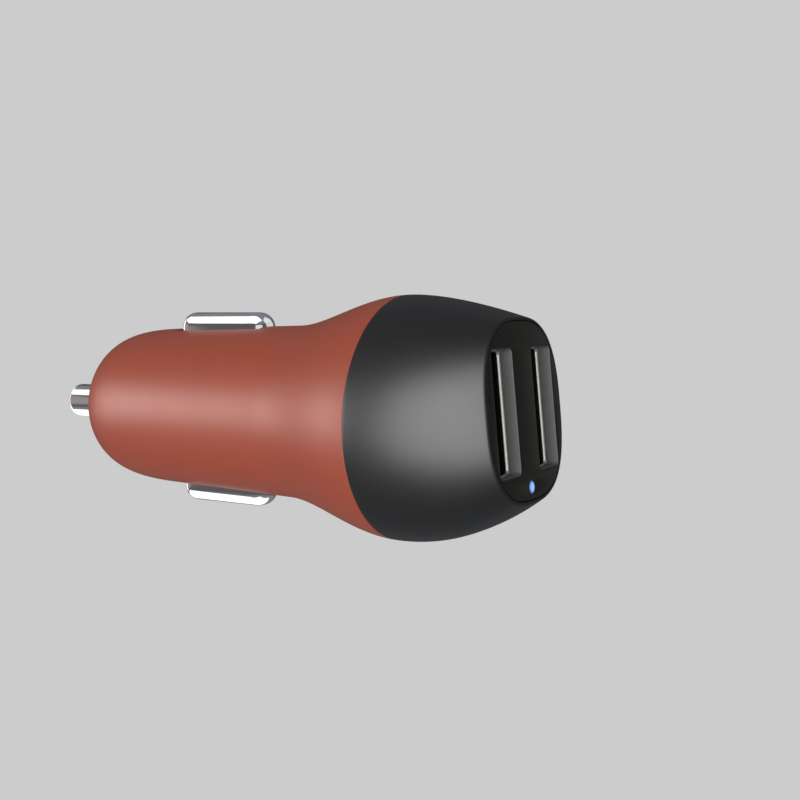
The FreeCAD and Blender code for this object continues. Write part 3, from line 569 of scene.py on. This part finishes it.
def housing_outline():
    """Outline from the pin's bore round the outside and back through the hollow."""
    pull = NOSE_FULLNESS * (NOSE_END_X - APEX_X)
    nose = bezier((APEX_X, 0), (APEX_X, NOSE_FULLNESS * NOSE_RADIUS),
                  (NOSE_END_X - pull, NOSE_RADIUS - BARREL_SLOPE * pull),
                  (NOSE_END_X, NOSE_RADIUS), 2 * CURVE_STEPS)
    nose = [point for point in nose if point[1] > PIN_BORE]
    flare = bezier((0, SEAT_RADIUS), (RING_X / 3, SEAT_RADIUS + BARREL_SLOPE * RING_X / 3),
                   (RING_X * 2 / 3, RING_RADIUS - RING_SLOPE * RING_X / 3),
                   (RING_X, RING_RADIUS), CURVE_STEPS)
    barrel = [(x, SEAT_RADIUS + BARREL_SLOPE * x) for x in (NOSE_END_X, NOSE_END_X / 2)]
    bore_start = nose[0][0]
    edge, edge_drop = 0.1, 0.005
    # The hollow keeps roughly the wall's thickness and ends in a thick nose with the pin's bore
    inside = [
        (RING_X - edge, RING_RADIUS - edge_drop), (RING_X, RING_RADIUS - edge),
        (RING_X, RING_RADIUS - HOUSING_WALL), (RING_X - 3.3, RING_RADIUS - HOUSING_WALL),
        (10.0, 11.6), (6.0, 9.9), (0, SEAT_RADIUS - HOUSING_WALL),
        (NOSE_END_X, NOSE_RADIUS - HOUSING_WALL), (APEX_X + 7.0, 7.0), (APEX_X + 3.6, 5.2),
        (APEX_X + 2.2, 3.4), (APEX_X + 2.2, PIN_BORE), (bore_start, PIN_BORE),
    ]
    return nose + barrel + flare + inside


housing = grow("barrel_housing_form", outline_mesh("housing_outline", housing_outline(), True),
               turned_form, {"Steps": AROUND, "Finish": terracotta_abs})

# %% [markdown]
# The side contacts come out through two slots, one above and one below. Each slot leaves a running
# gap of about a tenth of a millimetre, which shows as a thin dark line round the chrome.

# %% Cut the slots
CLIP_START, CLIP_END, CLIP_WIDTH = -18.1, -4.7, 4.4
SLOT_GAP, SLOT_INSIDE, SLOT_OUTSIDE = 0.13, 5.0, 13.0
slot_half = CLIP_WIDTH / 2 + SLOT_GAP
for low, high in ((SLOT_INSIDE, SLOT_OUTSIDE), (-SLOT_OUTSIDE, -SLOT_INSIDE)):
    slot_tool = block_piece("slot_tool", (CLIP_START - SLOT_GAP, -slot_half, low),
                            (CLIP_END + SLOT_GAP, slot_half, high))
    join(housing, slot_tool, "DIFFERENCE")
own(housing, "housing", terracotta_abs, "barrel_housing")
print("housing faces:", len(housing.data.polygons))

# %% [markdown]
# ## Head shell
# The head starts round at the parting ring and ends as a squarish oval that leans back a little.
# Between the two, everything follows a share of the way from ring to face: the half height and
# width shrink by a power of it, the oval's own power grows, the centre line bends up and the
# section tilts. That rule is the shape, so Geometry Nodes work it out for every point of the wall's
# outline. The outline is drawn as distance from the ring and depth under the outer surface.


# %% The head's rule as a tree
def head_tree():
    """Sweep the wall's outline round the head by the rule of its sections."""
    sizes = ("Length", "Ring radius", "Half width", "Half height", "Ring slope", "Ring place",
             "Squareness", "Rise", "Tilt", "Taper power", "Rise power", "Square power")
    kinds = {size: "NodeSocketFloat" for size in sizes}
    kinds.update({"Steps": "NodeSocketInt", "Finish": "NodeSocketMaterial"})
    tree, given = start_tree("head_form", kinds)
    mesh, point, angle = sweep_grid(tree, given)
    parts = add_node(tree, "ShaderNodeSeparateXYZ", {0: point}).outputs
    along, depth = parts["X"], parts["Z"]

    ratio = add_node(tree, "ShaderNodeMath", {0: along, 1: given["Length"]}, operation="DIVIDE",
                     use_clamp=True).outputs[0]
    rest = add_node(tree, "ShaderNodeMath", {0: 1.0, 1: ratio}, operation="SUBTRACT").outputs[0]
    bow = add_node(tree, "ShaderNodeMath", {0: ratio, 1: rest}, operation="MULTIPLY").outputs[0]
    pull = add_node(tree, "ShaderNodeMath", {
        0: given["Ring slope"], 1: given["Length"]}, operation="MULTIPLY").outputs[0]
    swell = add_node(tree, "ShaderNodeMath", {0: bow, 1: pull}, operation="MULTIPLY").outputs[0]
    outward = add_node(tree, "ShaderNodeMath", {0: swell, 1: depth}, operation="SUBTRACT").outputs[0]

    taper, square, bend = (
        add_node(tree, "ShaderNodeMath", {0: ratio, 1: given[size]}, operation="POWER").outputs[0]
        for size in ("Taper power", "Square power", "Rise power"))
    power = add_node(tree, "ShaderNodeMix", {
        0: square, 2: 2.0, 3: given["Squareness"]}, data_type="FLOAT").outputs[0]
    turns, terms = [], []
    for operation, size in (("COSINE", "Half width"), ("SINE", "Half height")):
        mixed = add_node(tree, "ShaderNodeMix", {
            0: taper, 2: given["Ring radius"], 3: given[size]}, data_type="FLOAT").outputs[0]
        half = add_node(tree, "ShaderNodeMath", {0: mixed, 1: outward}, operation="ADD").outputs[0]
        turn = add_node(tree, "ShaderNodeMath", {0: angle}, operation=operation).outputs[0]
        share = add_node(tree, "ShaderNodeMath", {0: turn, 1: half}, operation="DIVIDE").outputs[0]
        plain = add_node(tree, "ShaderNodeMath", {0: share}, operation="ABSOLUTE").outputs[0]
        term = add_node(tree, "ShaderNodeMath", {0: plain, 1: power}, operation="POWER").outputs[0]
        turns.append(turn)
        terms.append(term)
    total = add_node(tree, "ShaderNodeMath", {0: terms[0], 1: terms[1]}, operation="ADD").outputs[0]
    root = add_node(tree, "ShaderNodeMath", {0: -1.0, 1: power}, operation="DIVIDE").outputs[0]
    radius = add_node(tree, "ShaderNodeMath", {0: total, 1: root}, operation="POWER").outputs[0]
    across, up = (
        add_node(tree, "ShaderNodeMath", {0: radius, 1: turn}, operation="MULTIPLY").outputs[0]
        for turn in turns)

    flat = add_node(tree, "ShaderNodeCombineXYZ", {"Y": across, "Z": up}).outputs[0]
    tilt, rise = (
        add_node(tree, "ShaderNodeMath", {0: share, 1: given[size]}, operation="MULTIPLY").outputs[0]
        for share, size in ((ratio, "Tilt"), (bend, "Rise")))
    leaning = add_node(tree, "ShaderNodeVectorRotate", {
        "Vector": flat, "Angle": tilt}, rotation_type="Y_AXIS").outputs[0]
    place = add_node(tree, "ShaderNodeMath", {
        0: along, 1: given["Ring place"]}, operation="ADD").outputs[0]
    centre = add_node(tree, "ShaderNodeCombineXYZ", {"X": place, "Z": rise}).outputs[0]
    moved = add_node(tree, "ShaderNodeVectorMath", {0: leaning, 1: centre}, operation="ADD")
    return end_tree(tree, given, mesh, moved.outputs[0])


head_form = head_tree()
print("head tree nodes:", len(head_form.nodes))

# %% Grow the head shell
FACE_HALF_WIDTH, FACE_HALF_HEIGHT, FACE_SQUARENESS = 9.25, 10.15, 2.73
PLATE_THICKNESS, PLATE_LAND, PLATE_FIT = 1.4, 0.35, 0.07
PLATE_SEAT, LEDGE_BACK, LEDGE = HEAD_LENGTH - PLATE_THICKNESS - 0.1, HEAD_LENGTH - 2.6, 1.25
HEAD_WALL, SPIGOT_END, SPIGOT_OUTSIDE, SPIGOT_INSIDE = 1.2, -3.3, 1.65, 2.8

HEAD_SIZES = {
    "Length": HEAD_LENGTH * MM, "Ring radius": RING_RADIUS * MM, "Half width": FACE_HALF_WIDTH * MM,
    "Half height": FACE_HALF_HEIGHT * MM, "Ring slope": RING_SLOPE, "Ring place": RING_X * MM,
    "Squareness": FACE_SQUARENESS, "Rise": FACE_RISE * MM, "Tilt": math.radians(FACE_TILT),
    "Taper power": 1.85, "Rise power": 2.4, "Square power": 1.6,
    "Steps": AROUND, "Finish": black_abs,
}
outer_wall = [(HEAD_LENGTH * step / 36, 0.0) for step in range(1, 36)]
rim_and_hollow = rounded([
    (HEAD_LENGTH - 0.4, 0.0, 0.0), (HEAD_LENGTH, 0.0, 0.2), (HEAD_LENGTH, PLATE_LAND, 0.05),
    (PLATE_SEAT, PLATE_LAND, 0.0), (PLATE_SEAT, LEDGE, 0.0), (LEDGE_BACK, LEDGE, 0.0),
    (9.0, HEAD_WALL, 0.0), (4.5, HEAD_WALL, 0.0), (HEAD_WALL, HEAD_WALL, 0.0),
    (HEAD_WALL, SPIGOT_INSIDE, 0.0), (SPIGOT_END, SPIGOT_INSIDE, 0.0),
    (SPIGOT_END, SPIGOT_OUTSIDE, 0.0), (0.0, SPIGOT_OUTSIDE, 0.0),
    (0.0, 0.1, 0.0), (0.03, 0.03, 0.0), (0.1, 0.005, 0.0),
])
head = grow("head_shell_form", outline_mesh("wall_outline", outer_wall + rim_and_hollow, True),
            head_form, HEAD_SIZES)
own(head, "housing", black_abs, "head_shell")
print("head box mm:", [round(v / MM, 2) for v in head.dimensions])

# %% [markdown]
# ## Face plate
# The plate is a flat oval with two upright openings and a small round hole, moulded with slightly
# rounded edges. A filled flat curve does this in one go: the outline and the holes are its splines,
# and its own bevel rounds every edge alike. It is made a mesh first and then put in place.

# %% Flat curves in the face's plane
PLANE_TO_FACE = Matrix(((0, 0, 1, 0), (1, 0, 0, 0), (0, 1, 0, 0), (0, 0, 0, 1)))
PORT_PLACES = {"left": -4.85, "right": 4.85}
OPENING_WIDTH, OPENING_HEIGHT, OPENING_CORNER = 4.9, 13.6, 0.5


def oval(half_width, half_height, power, steps):
    """Points of the squarish oval, counted round from +X."""
    points = []
    for step in range(steps):
        angle = math.tau * step / steps
        across = abs(math.cos(angle) / half_width) ** power
        up = abs(math.sin(angle) / half_height) ** power
        radius = (across + up) ** (-1 / power)
        points.append((radius * math.cos(angle), radius * math.sin(angle)))
    return points


def round_rectangle(middle, width, height, corner, steps=6):
    """Points of a rectangle with rounded corners."""
    points = []
    for quarter, (side, up) in enumerate(((1, 1), (-1, 1), (-1, -1), (1, -1))):
        centre = (middle[0] + side * (width / 2 - corner), middle[1] + up * (height / 2 - corner))
        for step in range(steps + 1):
            angle = math.tau / 4 * (quarter + step / steps)
            points.append((centre[0] + corner * math.cos(angle), centre[1] + corner * math.sin(angle)))
    return points


def flat_piece(name, loops, thickness, edge):
    """Plate behind the plane z = 0 in millimetres, from its outline and holes, with rounded edges."""
    curve = bpy.data.curves.new(name, "CURVE")
    curve.dimensions = "2D"
    curve.fill_mode = "BOTH"
    curve.extrude = (thickness / 2 - edge) * MM
    curve.bevel_depth = edge * MM
    curve.bevel_resolution = 2
    curve.offset = -edge * MM
    for loop in loops:
        spline = curve.splines.new("POLY")
        spline.points.add(len(loop) - 1)
        for point, (x, y) in zip(spline.points, loop):
            point.co = (x * MM, y * MM, 0.0, 1.0)
        spline.use_cyclic_u = True
    flat = new_object(name, curve)
    mesh = plain_copy(flat, name)
    mesh.transform(Matrix.Translation((0, 0, -thickness / 2 * MM)))
    bpy.data.objects.remove(flat)
    return new_object(name, mesh)


# %% Make the face plate
PLATE_EDGE, LIGHT_HOLE = 0.05, LIGHT_RADIUS + 0.03
rim = PLATE_LAND + PLATE_FIT
plate_loops = [oval(FACE_HALF_WIDTH - rim, FACE_HALF_HEIGHT - rim, FACE_SQUARENESS, 160)]
for place in PORT_PLACES.values():
    plate_loops.append(
        round_rectangle((place, 0), OPENING_WIDTH, OPENING_HEIGHT, OPENING_CORNER))
plate_loops.append([(x, y - LIGHT_DROP) for x, y in oval(LIGHT_HOLE, LIGHT_HOLE, 2, 40)])
plate = flat_piece("face_plate_form", plate_loops, PLATE_THICKNESS, PLATE_EDGE)
plate.data.transform(FACE_MATRIX @ PLANE_TO_FACE)
tidy_mesh(plate.data, 20.0)
own(plate, "housing", plate_abs, "front_plate")
print("plate faces:", len(plate.data.polygons))

# %% [markdown]
# ## Light window
# A clear rod ends in the face with a rounded edge, and a collar behind the plate stops it. It is
# turned like the barrel and then moved to its place in the leaning face.

# %% Turn the light window
WINDOW_BACK, COLLAR_BACK, COLLAR_FRONT, COLLAR_RADIUS = -3.2, -2.0, -1.42, 1.2
window_outline = [
    (WINDOW_BACK, 0.0), (WINDOW_BACK, LIGHT_RADIUS), (COLLAR_BACK, LIGHT_RADIUS),
    (COLLAR_BACK, COLLAR_RADIUS), (COLLAR_FRONT, COLLAR_RADIUS), (COLLAR_FRONT, LIGHT_RADIUS),
    (-0.08, LIGHT_RADIUS), (-0.03, LIGHT_RADIUS - 0.05), (0.0, LIGHT_RADIUS - 0.2), (0.0, 0.0)]
window = grow("light_window", outline_mesh("window_outline", window_outline, False),
              turned_form, {"Steps": 48, "Finish": window_glow})
window.data.transform(FACE_MATRIX @ Matrix.Translation((0, 0, -LIGHT_DROP * MM)))
own(window, "housing", window_glow, "light_pipe")

# %% [markdown]
# ## Port sleeves
# Each port is lined by a folded sleeve of plated sheet. Its mouth is flared a little so that a plug
# finds its way in, and that flare is what catches the light as a thin bright line inside the
# opening. The sleeve is a stack of rounded rectangles, joined ring by ring and closed at both ends.

# %% Build the port sleeves
SLEEVE_WIDTH, SLEEVE_HEIGHT, SLEEVE_SHEET, SLEEVE_DEPTH = 4.6, 13.1, 0.35, 13.5
MOUTH_FLARE, MOUTH_DEPTH = 0.18, 0.4


def ring_stack(name, rings):
    """Closed skin through rings with one count of points, the last joined to the first."""
    count = len(rings[0])
    faces = []
    for number in range(len(rings)):
        here, there = number * count, ((number + 1) % len(rings)) * count
        for step in range(count):
            after = (step + 1) % count
            faces.append((here + step, here + after, there + after, there + step))
    mesh = bpy.data.meshes.new(name)
    mesh.from_pydata([Vector(point) * MM for ring in rings for point in ring], [], faces)
    return mesh


def sleeve_ring(depth, grow_by):
    """Rounded rectangle at a depth behind the plate, wider than the hollow by grow_by each side."""
    corner = 0.4 + grow_by
    loop = round_rectangle((0, 0), SLEEVE_WIDTH + 2 * grow_by, SLEEVE_HEIGHT + 2 * grow_by, corner)
    return [(-depth, y, z) for y, z in loop]


def port_sleeve(side):
    """Sleeve of one port with its flared mouth."""
    rings = [
        sleeve_ring(SLEEVE_DEPTH, 0.0), sleeve_ring(MOUTH_DEPTH, 0.0),
        sleeve_ring(MOUTH_DEPTH * 0.85, 0.02), sleeve_ring(0.05, MOUTH_FLARE - 0.02),
        sleeve_ring(0.01, MOUTH_FLARE + 0.02), sleeve_ring(0.01, SLEEVE_SHEET),
        sleeve_ring(SLEEVE_DEPTH, SLEEVE_SHEET),
    ]
    sleeve = new_object("port_sleeve_" + side, ring_stack("sleeve", rings))
    place = Matrix.Translation(Vector((-PLATE_THICKNESS, PORT_PLACES[side], 0)) * MM)
    sleeve.data.transform(FACE_MATRIX @ place)
    tidy_mesh(sleeve.data, 50.0)
    return own(sleeve, "housing", nickel_sheet, "port_shell_" + side)


sleeves = [port_sleeve(side) for side in PORT_PLACES]
print("sleeves:", [sleeve.name for sleeve in sleeves])

# %% [markdown]
# ## Side contacts
# Each side contact is a strip of sheet drawn into a rounded channel and plated. A block with
# rounded edges, hollowed from below by a smaller one, gives the same form, and its even rounding is
# what makes the bright band along its shoulder. The lower contact is the upper one turned half
# round the barrel's axis.

# %% Build the side contacts
CLIP_CREST, CLIP_SKIRT, CLIP_ROUNDING, CLIP_SHEET = 12.1, 8.73, 1.9, 0.5
FOOT_BOTTOM, FOOT_HALF, LEG_HALF, FOOT_REACH = 7.69, 1.7, 0.85, 0.8


def side_contact(name, body, turn, node):
    """Drawn contact with its two legs and feet, turned round the barrel's axis."""
    half, sheet = CLIP_WIDTH / 2, CLIP_SHEET
    shell = block_piece(name, (CLIP_START, -half, 2 * CLIP_SKIRT - CLIP_CREST),
                        (CLIP_END, half, CLIP_CREST), CLIP_ROUNDING, steps=8)
    hollow = block_piece("hollow", (CLIP_START + sheet, -half + sheet, 0),
                         (CLIP_END - sheet, half - sheet, CLIP_CREST - sheet),
                         CLIP_ROUNDING - sheet, steps=6)
    underside = block_piece("underside", (CLIP_START - 1, -half - 1, 0),
                            (CLIP_END + 1, half + 1, CLIP_SKIRT))
    join(shell, hollow, "DIFFERENCE")
    join(shell, underside, "DIFFERENCE")
    for end, inward in ((CLIP_START, 1), (CLIP_END, -1)):
        wall = sorted((end, end + inward * sheet))
        foot = sorted((end - inward * FOOT_REACH, end + inward * sheet))
        join(shell, block_piece("leg", (wall[0], -LEG_HALF, FOOT_BOTTOM),
                                (wall[1], LEG_HALF, CLIP_SKIRT + 2 * sheet)), "UNION")
        join(shell, block_piece("foot", (foot[0], -FOOT_HALF, FOOT_BOTTOM),
                                (foot[1], FOOT_HALF, FOOT_BOTTOM + sheet), 0.1, steps=2), "UNION")
    shell.data.transform(Matrix.Rotation(turn, 4, "X"))
    tidy_mesh(shell.data, 40.0)
    return own(shell, body, chrome, node)


top_contact = side_contact("side_contact_top", "clip_top", 0.0, "clip_top")
bottom_contact = side_contact("side_contact_bottom", "clip_bottom", math.pi, "clip_bottom")
print("side contacts:", top_contact.name, bottom_contact.name)

# %% [markdown]
# ## Centre contact
# The centre contact is turned from rod: a rounded tip, a shank that slides in the nose, a flange
# that stops it and a guide for the spring. One outline carried round the axis gives it.

# %% Turn the centre contact
PIN_TIP_X, PIN_RADIUS, PIN_ROUNDING = -38.7, 2.2, 1.1
FLANGE_X, FLANGE_END_X, GUIDE_END_X = -28.55, -27.55, -25.55
pin_outline = [(PIN_TIP_X, 0.0)] + rounded([
    (PIN_TIP_X, 0.5, 0.0), (PIN_TIP_X, PIN_RADIUS, PIN_ROUNDING), (FLANGE_X, PIN_RADIUS, 0.0),
    (FLANGE_X, 3.2, 0.0), (FLANGE_END_X, 3.2, 0.0), (FLANGE_END_X, 1.6, 0.0),
    (GUIDE_END_X, 1.6, 0.2), (GUIDE_END_X, 0.4, 0.0)]) + [(GUIDE_END_X, 0.0)]
pin = grow("centre_contact", outline_mesh("pin_outline", pin_outline, False),
           turned_form, {"Steps": 96, "Finish": chrome})
own(pin, "centre_pin", chrome, "centre_pin")

# %% [markdown]
# ## Springs
# Three coil springs push the contacts out. A spring follows a path, so Geometry Nodes draw the
# spiral and carry a round wire along it.


# %% The spring tree
def spring_tree():
    """Round wire along a spiral that stands on the origin."""
    tree, given = start_tree("coil_spring", {
        "Turns": "NodeSocketFloat", "Coil radius": "NodeSocketFloat",
        "Wire radius": "NodeSocketFloat", "Height": "NodeSocketFloat",
        "Finish": "NodeSocketMaterial"})
    double = add_node(tree, "ShaderNodeMath", {
        0: given["Wire radius"], 1: 2.0}, operation="MULTIPLY").outputs[0]
    climb = add_node(tree, "ShaderNodeMath", {
        0: given["Height"], 1: double}, operation="SUBTRACT").outputs[0]
    spiral = add_node(tree, "GeometryNodeCurveSpiral", {
        "Resolution": 28, "Rotations": given["Turns"], "Start Radius": given["Coil radius"],
        "End Radius": given["Coil radius"], "Height": climb})
    wire = add_node(tree, "GeometryNodeCurvePrimitiveCircle", {
        "Resolution": 12, "Radius": given["Wire radius"]})
    tube = add_node(tree, "GeometryNodeCurveToMesh", {
        "Curve": spiral.outputs[0], "Profile Curve": wire.outputs[0], "Fill Caps": True})
    base = add_node(tree, "ShaderNodeCombineXYZ", {"Z": given["Wire radius"]}).outputs[0]
    lifted = add_node(tree, "GeometryNodeSetPosition", {
        "Geometry": tube.outputs[0], "Offset": base})
    real = add_node(tree, "GeometryNodeRealizeInstances", {"Geometry": lifted.outputs[0]})
    dressed = add_node(tree, "GeometryNodeSetMaterial", {
        "Geometry": real.outputs[0], "Material": given["Finish"]})
    add_node(tree, "NodeGroupOutput", {0: dressed.outputs[0]})
    return tree


coil_spring = spring_tree()
print("spring tree nodes:", len(coil_spring.nodes))

# %% Wind the springs
CUP_X, STRAP_TOP, CLIP_SPRING_TOP = -21.4, 6.2, 11.39
CLIP_MIDDLE = (CLIP_START + CLIP_END) / 2


def spring(node, turns, coil_radius, wire_radius, height, place):
    """Spring in its place, with a mesh of its own."""
    sizes = {"Turns": turns, "Coil radius": coil_radius * MM, "Wire radius": wire_radius * MM,
             "Height": height * MM, "Finish": spring_wire}
    piece = grow(node + "_coil", bpy.data.meshes.new(node), coil_spring, sizes)
    piece.data.transform(place)
    own(piece, "housing", spring_wire, node)
    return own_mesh(piece)


pin_place = Matrix.Translation((FLANGE_END_X * MM, 0, 0)) @ Matrix.Rotation(math.pi / 2, 4, "Y")
spring("pin_spring", turns=6, coil_radius=2.6, wire_radius=0.25, height=CUP_X - FLANGE_END_X,
       place=pin_place)
for node_name, turn, joint in (("clip_spring_top", 0.0, "clip_top_slide"),
                               ("clip_spring_bottom", math.pi, "clip_bottom_slide")):
    stand = Matrix.Translation(Vector((CLIP_MIDDLE, 0, STRAP_TOP)) * MM)
    spring(node_name, turns=5, coil_radius=0.95, wire_radius=0.2, height=CLIP_SPRING_TOP - STRAP_TOP,
           place=Matrix.Rotation(turn, 4, "X") @ stand)

# %% [markdown]
# ## Studio
# The photograph shows the plug on an even pale grey, so the world gives that grey to the camera and
# an even fill to matt surfaces. Mirrors see a room instead: dark walls, a grey ceiling and ground,
# and one pale door beyond the plug's tip, because chrome only looks like chrome where it has light
# and dark to show. The floor lies well below the plug, catches its shadow, and fades out so that no
# horizon shows. Mirrors don't see it, or it would wash out the plug's underside.

# %% World
BACKDROP, FILL_LEVEL = "CCCCCC", 0.50
WALL, CEILING, DOOR = "64625E", "888B92", "A89A98"
DOOR_PLACE = (-0.90, -0.43, 0.0)
world = bpy.data.worlds.new("studio_air")
bpy.context.scene.world = world
world.use_nodes = True
air = world.node_tree
air.nodes.clear()
seen = add_node(air, "ShaderNodeLightPath").outputs
plain_view = add_node(air, "ShaderNodeMath", {
    0: seen["Is Camera Ray"], 1: seen["Is Transmission Ray"]}, operation="MAXIMUM").outputs[0]
backdrop = add_node(air, "ShaderNodeBackground", {"Color": linear(BACKDROP), "Strength": 1.0})
fill = add_node(air, "ShaderNodeBackground", {"Color": (1, 1, 1, 1), "Strength": FILL_LEVEL})
toward = add_node(air, "ShaderNodeTexCoord").outputs["Generated"]
height = add_node(air, "ShaderNodeSeparateXYZ", {0: toward}).outputs["Z"]
steep = add_node(air, "ShaderNodeMath", {0: height}, operation="ABSOLUTE").outputs[0]
overhead = add_node(air, "ShaderNodeMapRange", {
    "Value": steep, "From Min": 0.40, "From Max": 0.55}, interpolation_type="SMOOTHSTEP")
doorward = add_node(air, "ShaderNodeVectorMath", {
    0: toward, 1: DOOR_PLACE}, operation="DOT_PRODUCT").outputs["Value"]
door = add_node(air, "ShaderNodeMapRange", {
    "Value": doorward, "From Min": 0.92, "From Max": 0.97}, interpolation_type="SMOOTHSTEP")
doorless = add_node(air, "ShaderNodeMix", {
    0: overhead.outputs[0], 6: linear(WALL), 7: linear(CEILING)}, data_type="RGBA").outputs[2]
painted = add_node(air, "ShaderNodeMix", {
    0: door.outputs[0], 6: doorless, 7: linear(DOOR)}, data_type="RGBA").outputs[2]
room = add_node(air, "ShaderNodeBackground", {"Color": painted, "Strength": 1.0})
mirrored = add_node(air, "ShaderNodeMixShader", {
    0: seen["Is Glossy Ray"], 1: fill.outputs[0], 2: room.outputs[0]})
either = add_node(air, "ShaderNodeMixShader", {
    0: plain_view, 1: mirrored.outputs[0], 2: backdrop.outputs[0]})
add_node(air, "ShaderNodeOutputWorld", {0: either.outputs[0]})
world.cycles.sampling_method = "NONE"
print("world nodes:", len(air.nodes))


# %% Floor
FLOOR_DROP, FLOOR_CLEAR, FLOOR_END = 100.0, 55.0, 112.0


def floor_finish():
    """Pale matt floor that thins out with distance from the plug."""
    finish, tree, shader = start_finish(
        "pale_matt_floor", "F6F6F6", 0.9, **{"Specular IOR Level": 0.0})
    place = add_node(tree, "ShaderNodeTexCoord").outputs["Object"]
    reach = add_node(tree, "ShaderNodeVectorMath", {0: place}, operation="LENGTH")
    cover = add_node(tree, "ShaderNodeMapRange", {
        "Value": reach.outputs["Value"], "From Min": FLOOR_END * MM, "From Max": FLOOR_CLEAR * MM},
        interpolation_type="SMOOTHSTEP")
    fill_inputs(tree, shader, {"Alpha": cover.outputs[0]})
    return finish


work = bmesh.new()
bmesh.ops.create_circle(work, cap_ends=True, segments=96, radius=FLOOR_END * MM)
floor_mesh = bpy.data.meshes.new("floor")
work.to_mesh(floor_mesh)
work.free()
floor_mesh.materials.append(floor_finish())
floor = new_object("floor", floor_mesh)
floor.location = (0, 0, -FLOOR_DROP * MM)
floor.visible_glossy = False
print("floor below the plug, mm:", FLOOR_DROP)


# %% [markdown]
# A soft lamp in front and a weaker one behind light the colours and show in no mirror. The softboxes
# do the opposite: each gives a few pieces their shine and lights no colour, so a streak can be
# placed without washing out the rest. Four stand along the satin plastics for the long streak, four
# round the side contacts and two round the tip, with one beyond the tip for both. The last three
# serve the ports' mouths, the walls of the plate's openings and the gold strips in the ports.


# %% Lamps
def lamp(name, place, aim, size, radiance):
    """Area lamp at a place in millimetres, turned to an aim, with its width and height."""
    light = bpy.data.lights.new(name, "AREA")
    light.shape = "RECTANGLE"
    light.size, light.size_y = (s * MM for s in size)
    light.energy = radiance * math.pi * light.size * light.size_y
    made = bpy.data.objects.new(name, light)
    bpy.context.scene.collection.objects.link(made)
    made.location = Vector(place) * MM
    made.rotation_euler = (Vector(aim) - Vector(place)).to_track_quat("-Z", "Y").to_euler()
    made.visible_camera = False
    return made


def shine_on(light, name, pieces):
    """Let a lamp light only the given pieces."""
    chosen = bpy.data.collections.new(name)
    for piece in pieces:
        chosen.objects.link(piece)
    light.light_linking.receiver_collection = chosen


key = lamp("soft_key", (140, -430, 20), (0, 0, 0), (300, 300), 3.45)
key.visible_glossy = False
back = lamp("soft_back", (-100, 430, 60), (0, 0, 0), (300, 300), 1.6)
back.visible_glossy = False
CONTACTS = (top_contact, bottom_contact)
STRIPS = tuple(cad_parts["port_contacts_" + side] for side in PORT_PLACES)
# Each softbox has its name, place, aim, width and height, radiance, and the pieces that it shines on
SOFTBOXES = (
    ("softbox_nose", (-273, -120, 15), (0, 0, 0), (110, 140), 2.4, (housing, head)),
    ("softbox_left", (-222, -201, 15), (0, 0, 0), (150, 140), 11.4, (housing, head)),
    ("softbox_right", (125, -311, 8), (0, 0, 0), (320, 330), 13.2, (housing, head)),
    ("softbox_rim", (215, -235, 8), (28, 0, 0), (150, 300), 5.0, (head,)),
    ("panel_above", (-50, -62, 88), (-50, -62, 11), (230, 130), 1.4, CONTACTS),
    ("panel_below", (-50, -2, -91), (-50, 0, -11), (230, 149), 1.4, CONTACTS),
    ("panel_back", (92, 114, 80), (-5, 0, 11), (140, 170), 0.7, CONTACTS),
    ("panel_end", (115, -90, 11), (-5, 0, 0), (150, 110), 0.8, CONTACTS),
    ("panel_far", (-137, 14, 0), (-18, 0, 0), (60, 120), 1.3, CONTACTS + (pin,)),
    ("panel_over_pin", (-109, -28, 62), (-109, 0, 0), (120, 58), 1.4, (pin,)),
    ("panel_under_pin", (-109, 38, -56), (-109, 0, 0), (120, 162), 1.4, (pin,)),
    ("panel_mouth", (115, -300, 8), (28, 0, 0), (200, 300), 1.3, sleeves),
    ("panel_opening", (215, -235, 8), (28, 0, 0), (150, 300), 26.0, (plate,)),
    ("panel_strips", (240, 0, 40), (25, 0, 0), (200, 160), 3.0, STRIPS),
)
for name, place, aim, size, radiance, pieces in SOFTBOXES:
    softbox = lamp(name, place, aim, size, radiance)
    softbox.visible_diffuse = False
    shine_on(softbox, name + "_pieces", pieces)
print("lamps:", len(bpy.data.lights))

# %% [markdown]
# ## Camera
# The place, the direction and the lens were worked out from the outline in the photograph: a view
# from beside the face, 4.6 degrees down onto the plug, as through a 52 mm lens close by.

# %% Camera
CAMERA_PLACE = (84.194, -114.658, 12.760)
CAMERA_LOOK = (-0.52051, 0.85010, -0.07999)
CAMERA_ROLL, CAMERA_LENS = -0.19, 52.41
camera = bpy.data.objects.new("camera", bpy.data.cameras.new("camera"))
bpy.context.scene.collection.objects.link(camera)
camera.location = Vector(CAMERA_PLACE) * MM
level = Vector(CAMERA_LOOK).to_track_quat("-Z", "Y")
roll = Quaternion((0, 0, 1), math.radians(CAMERA_ROLL))
camera.rotation_euler = (level @ roll).to_euler()
camera.data.lens = CAMERA_LENS
camera.data.sensor_width = 36.0
camera.data.clip_start = 0.001
bpy.context.scene.camera = camera
bpy.context.scene.view_settings.view_transform = "Standard"
print("camera lens, mm:", round(camera.data.lens, 2))
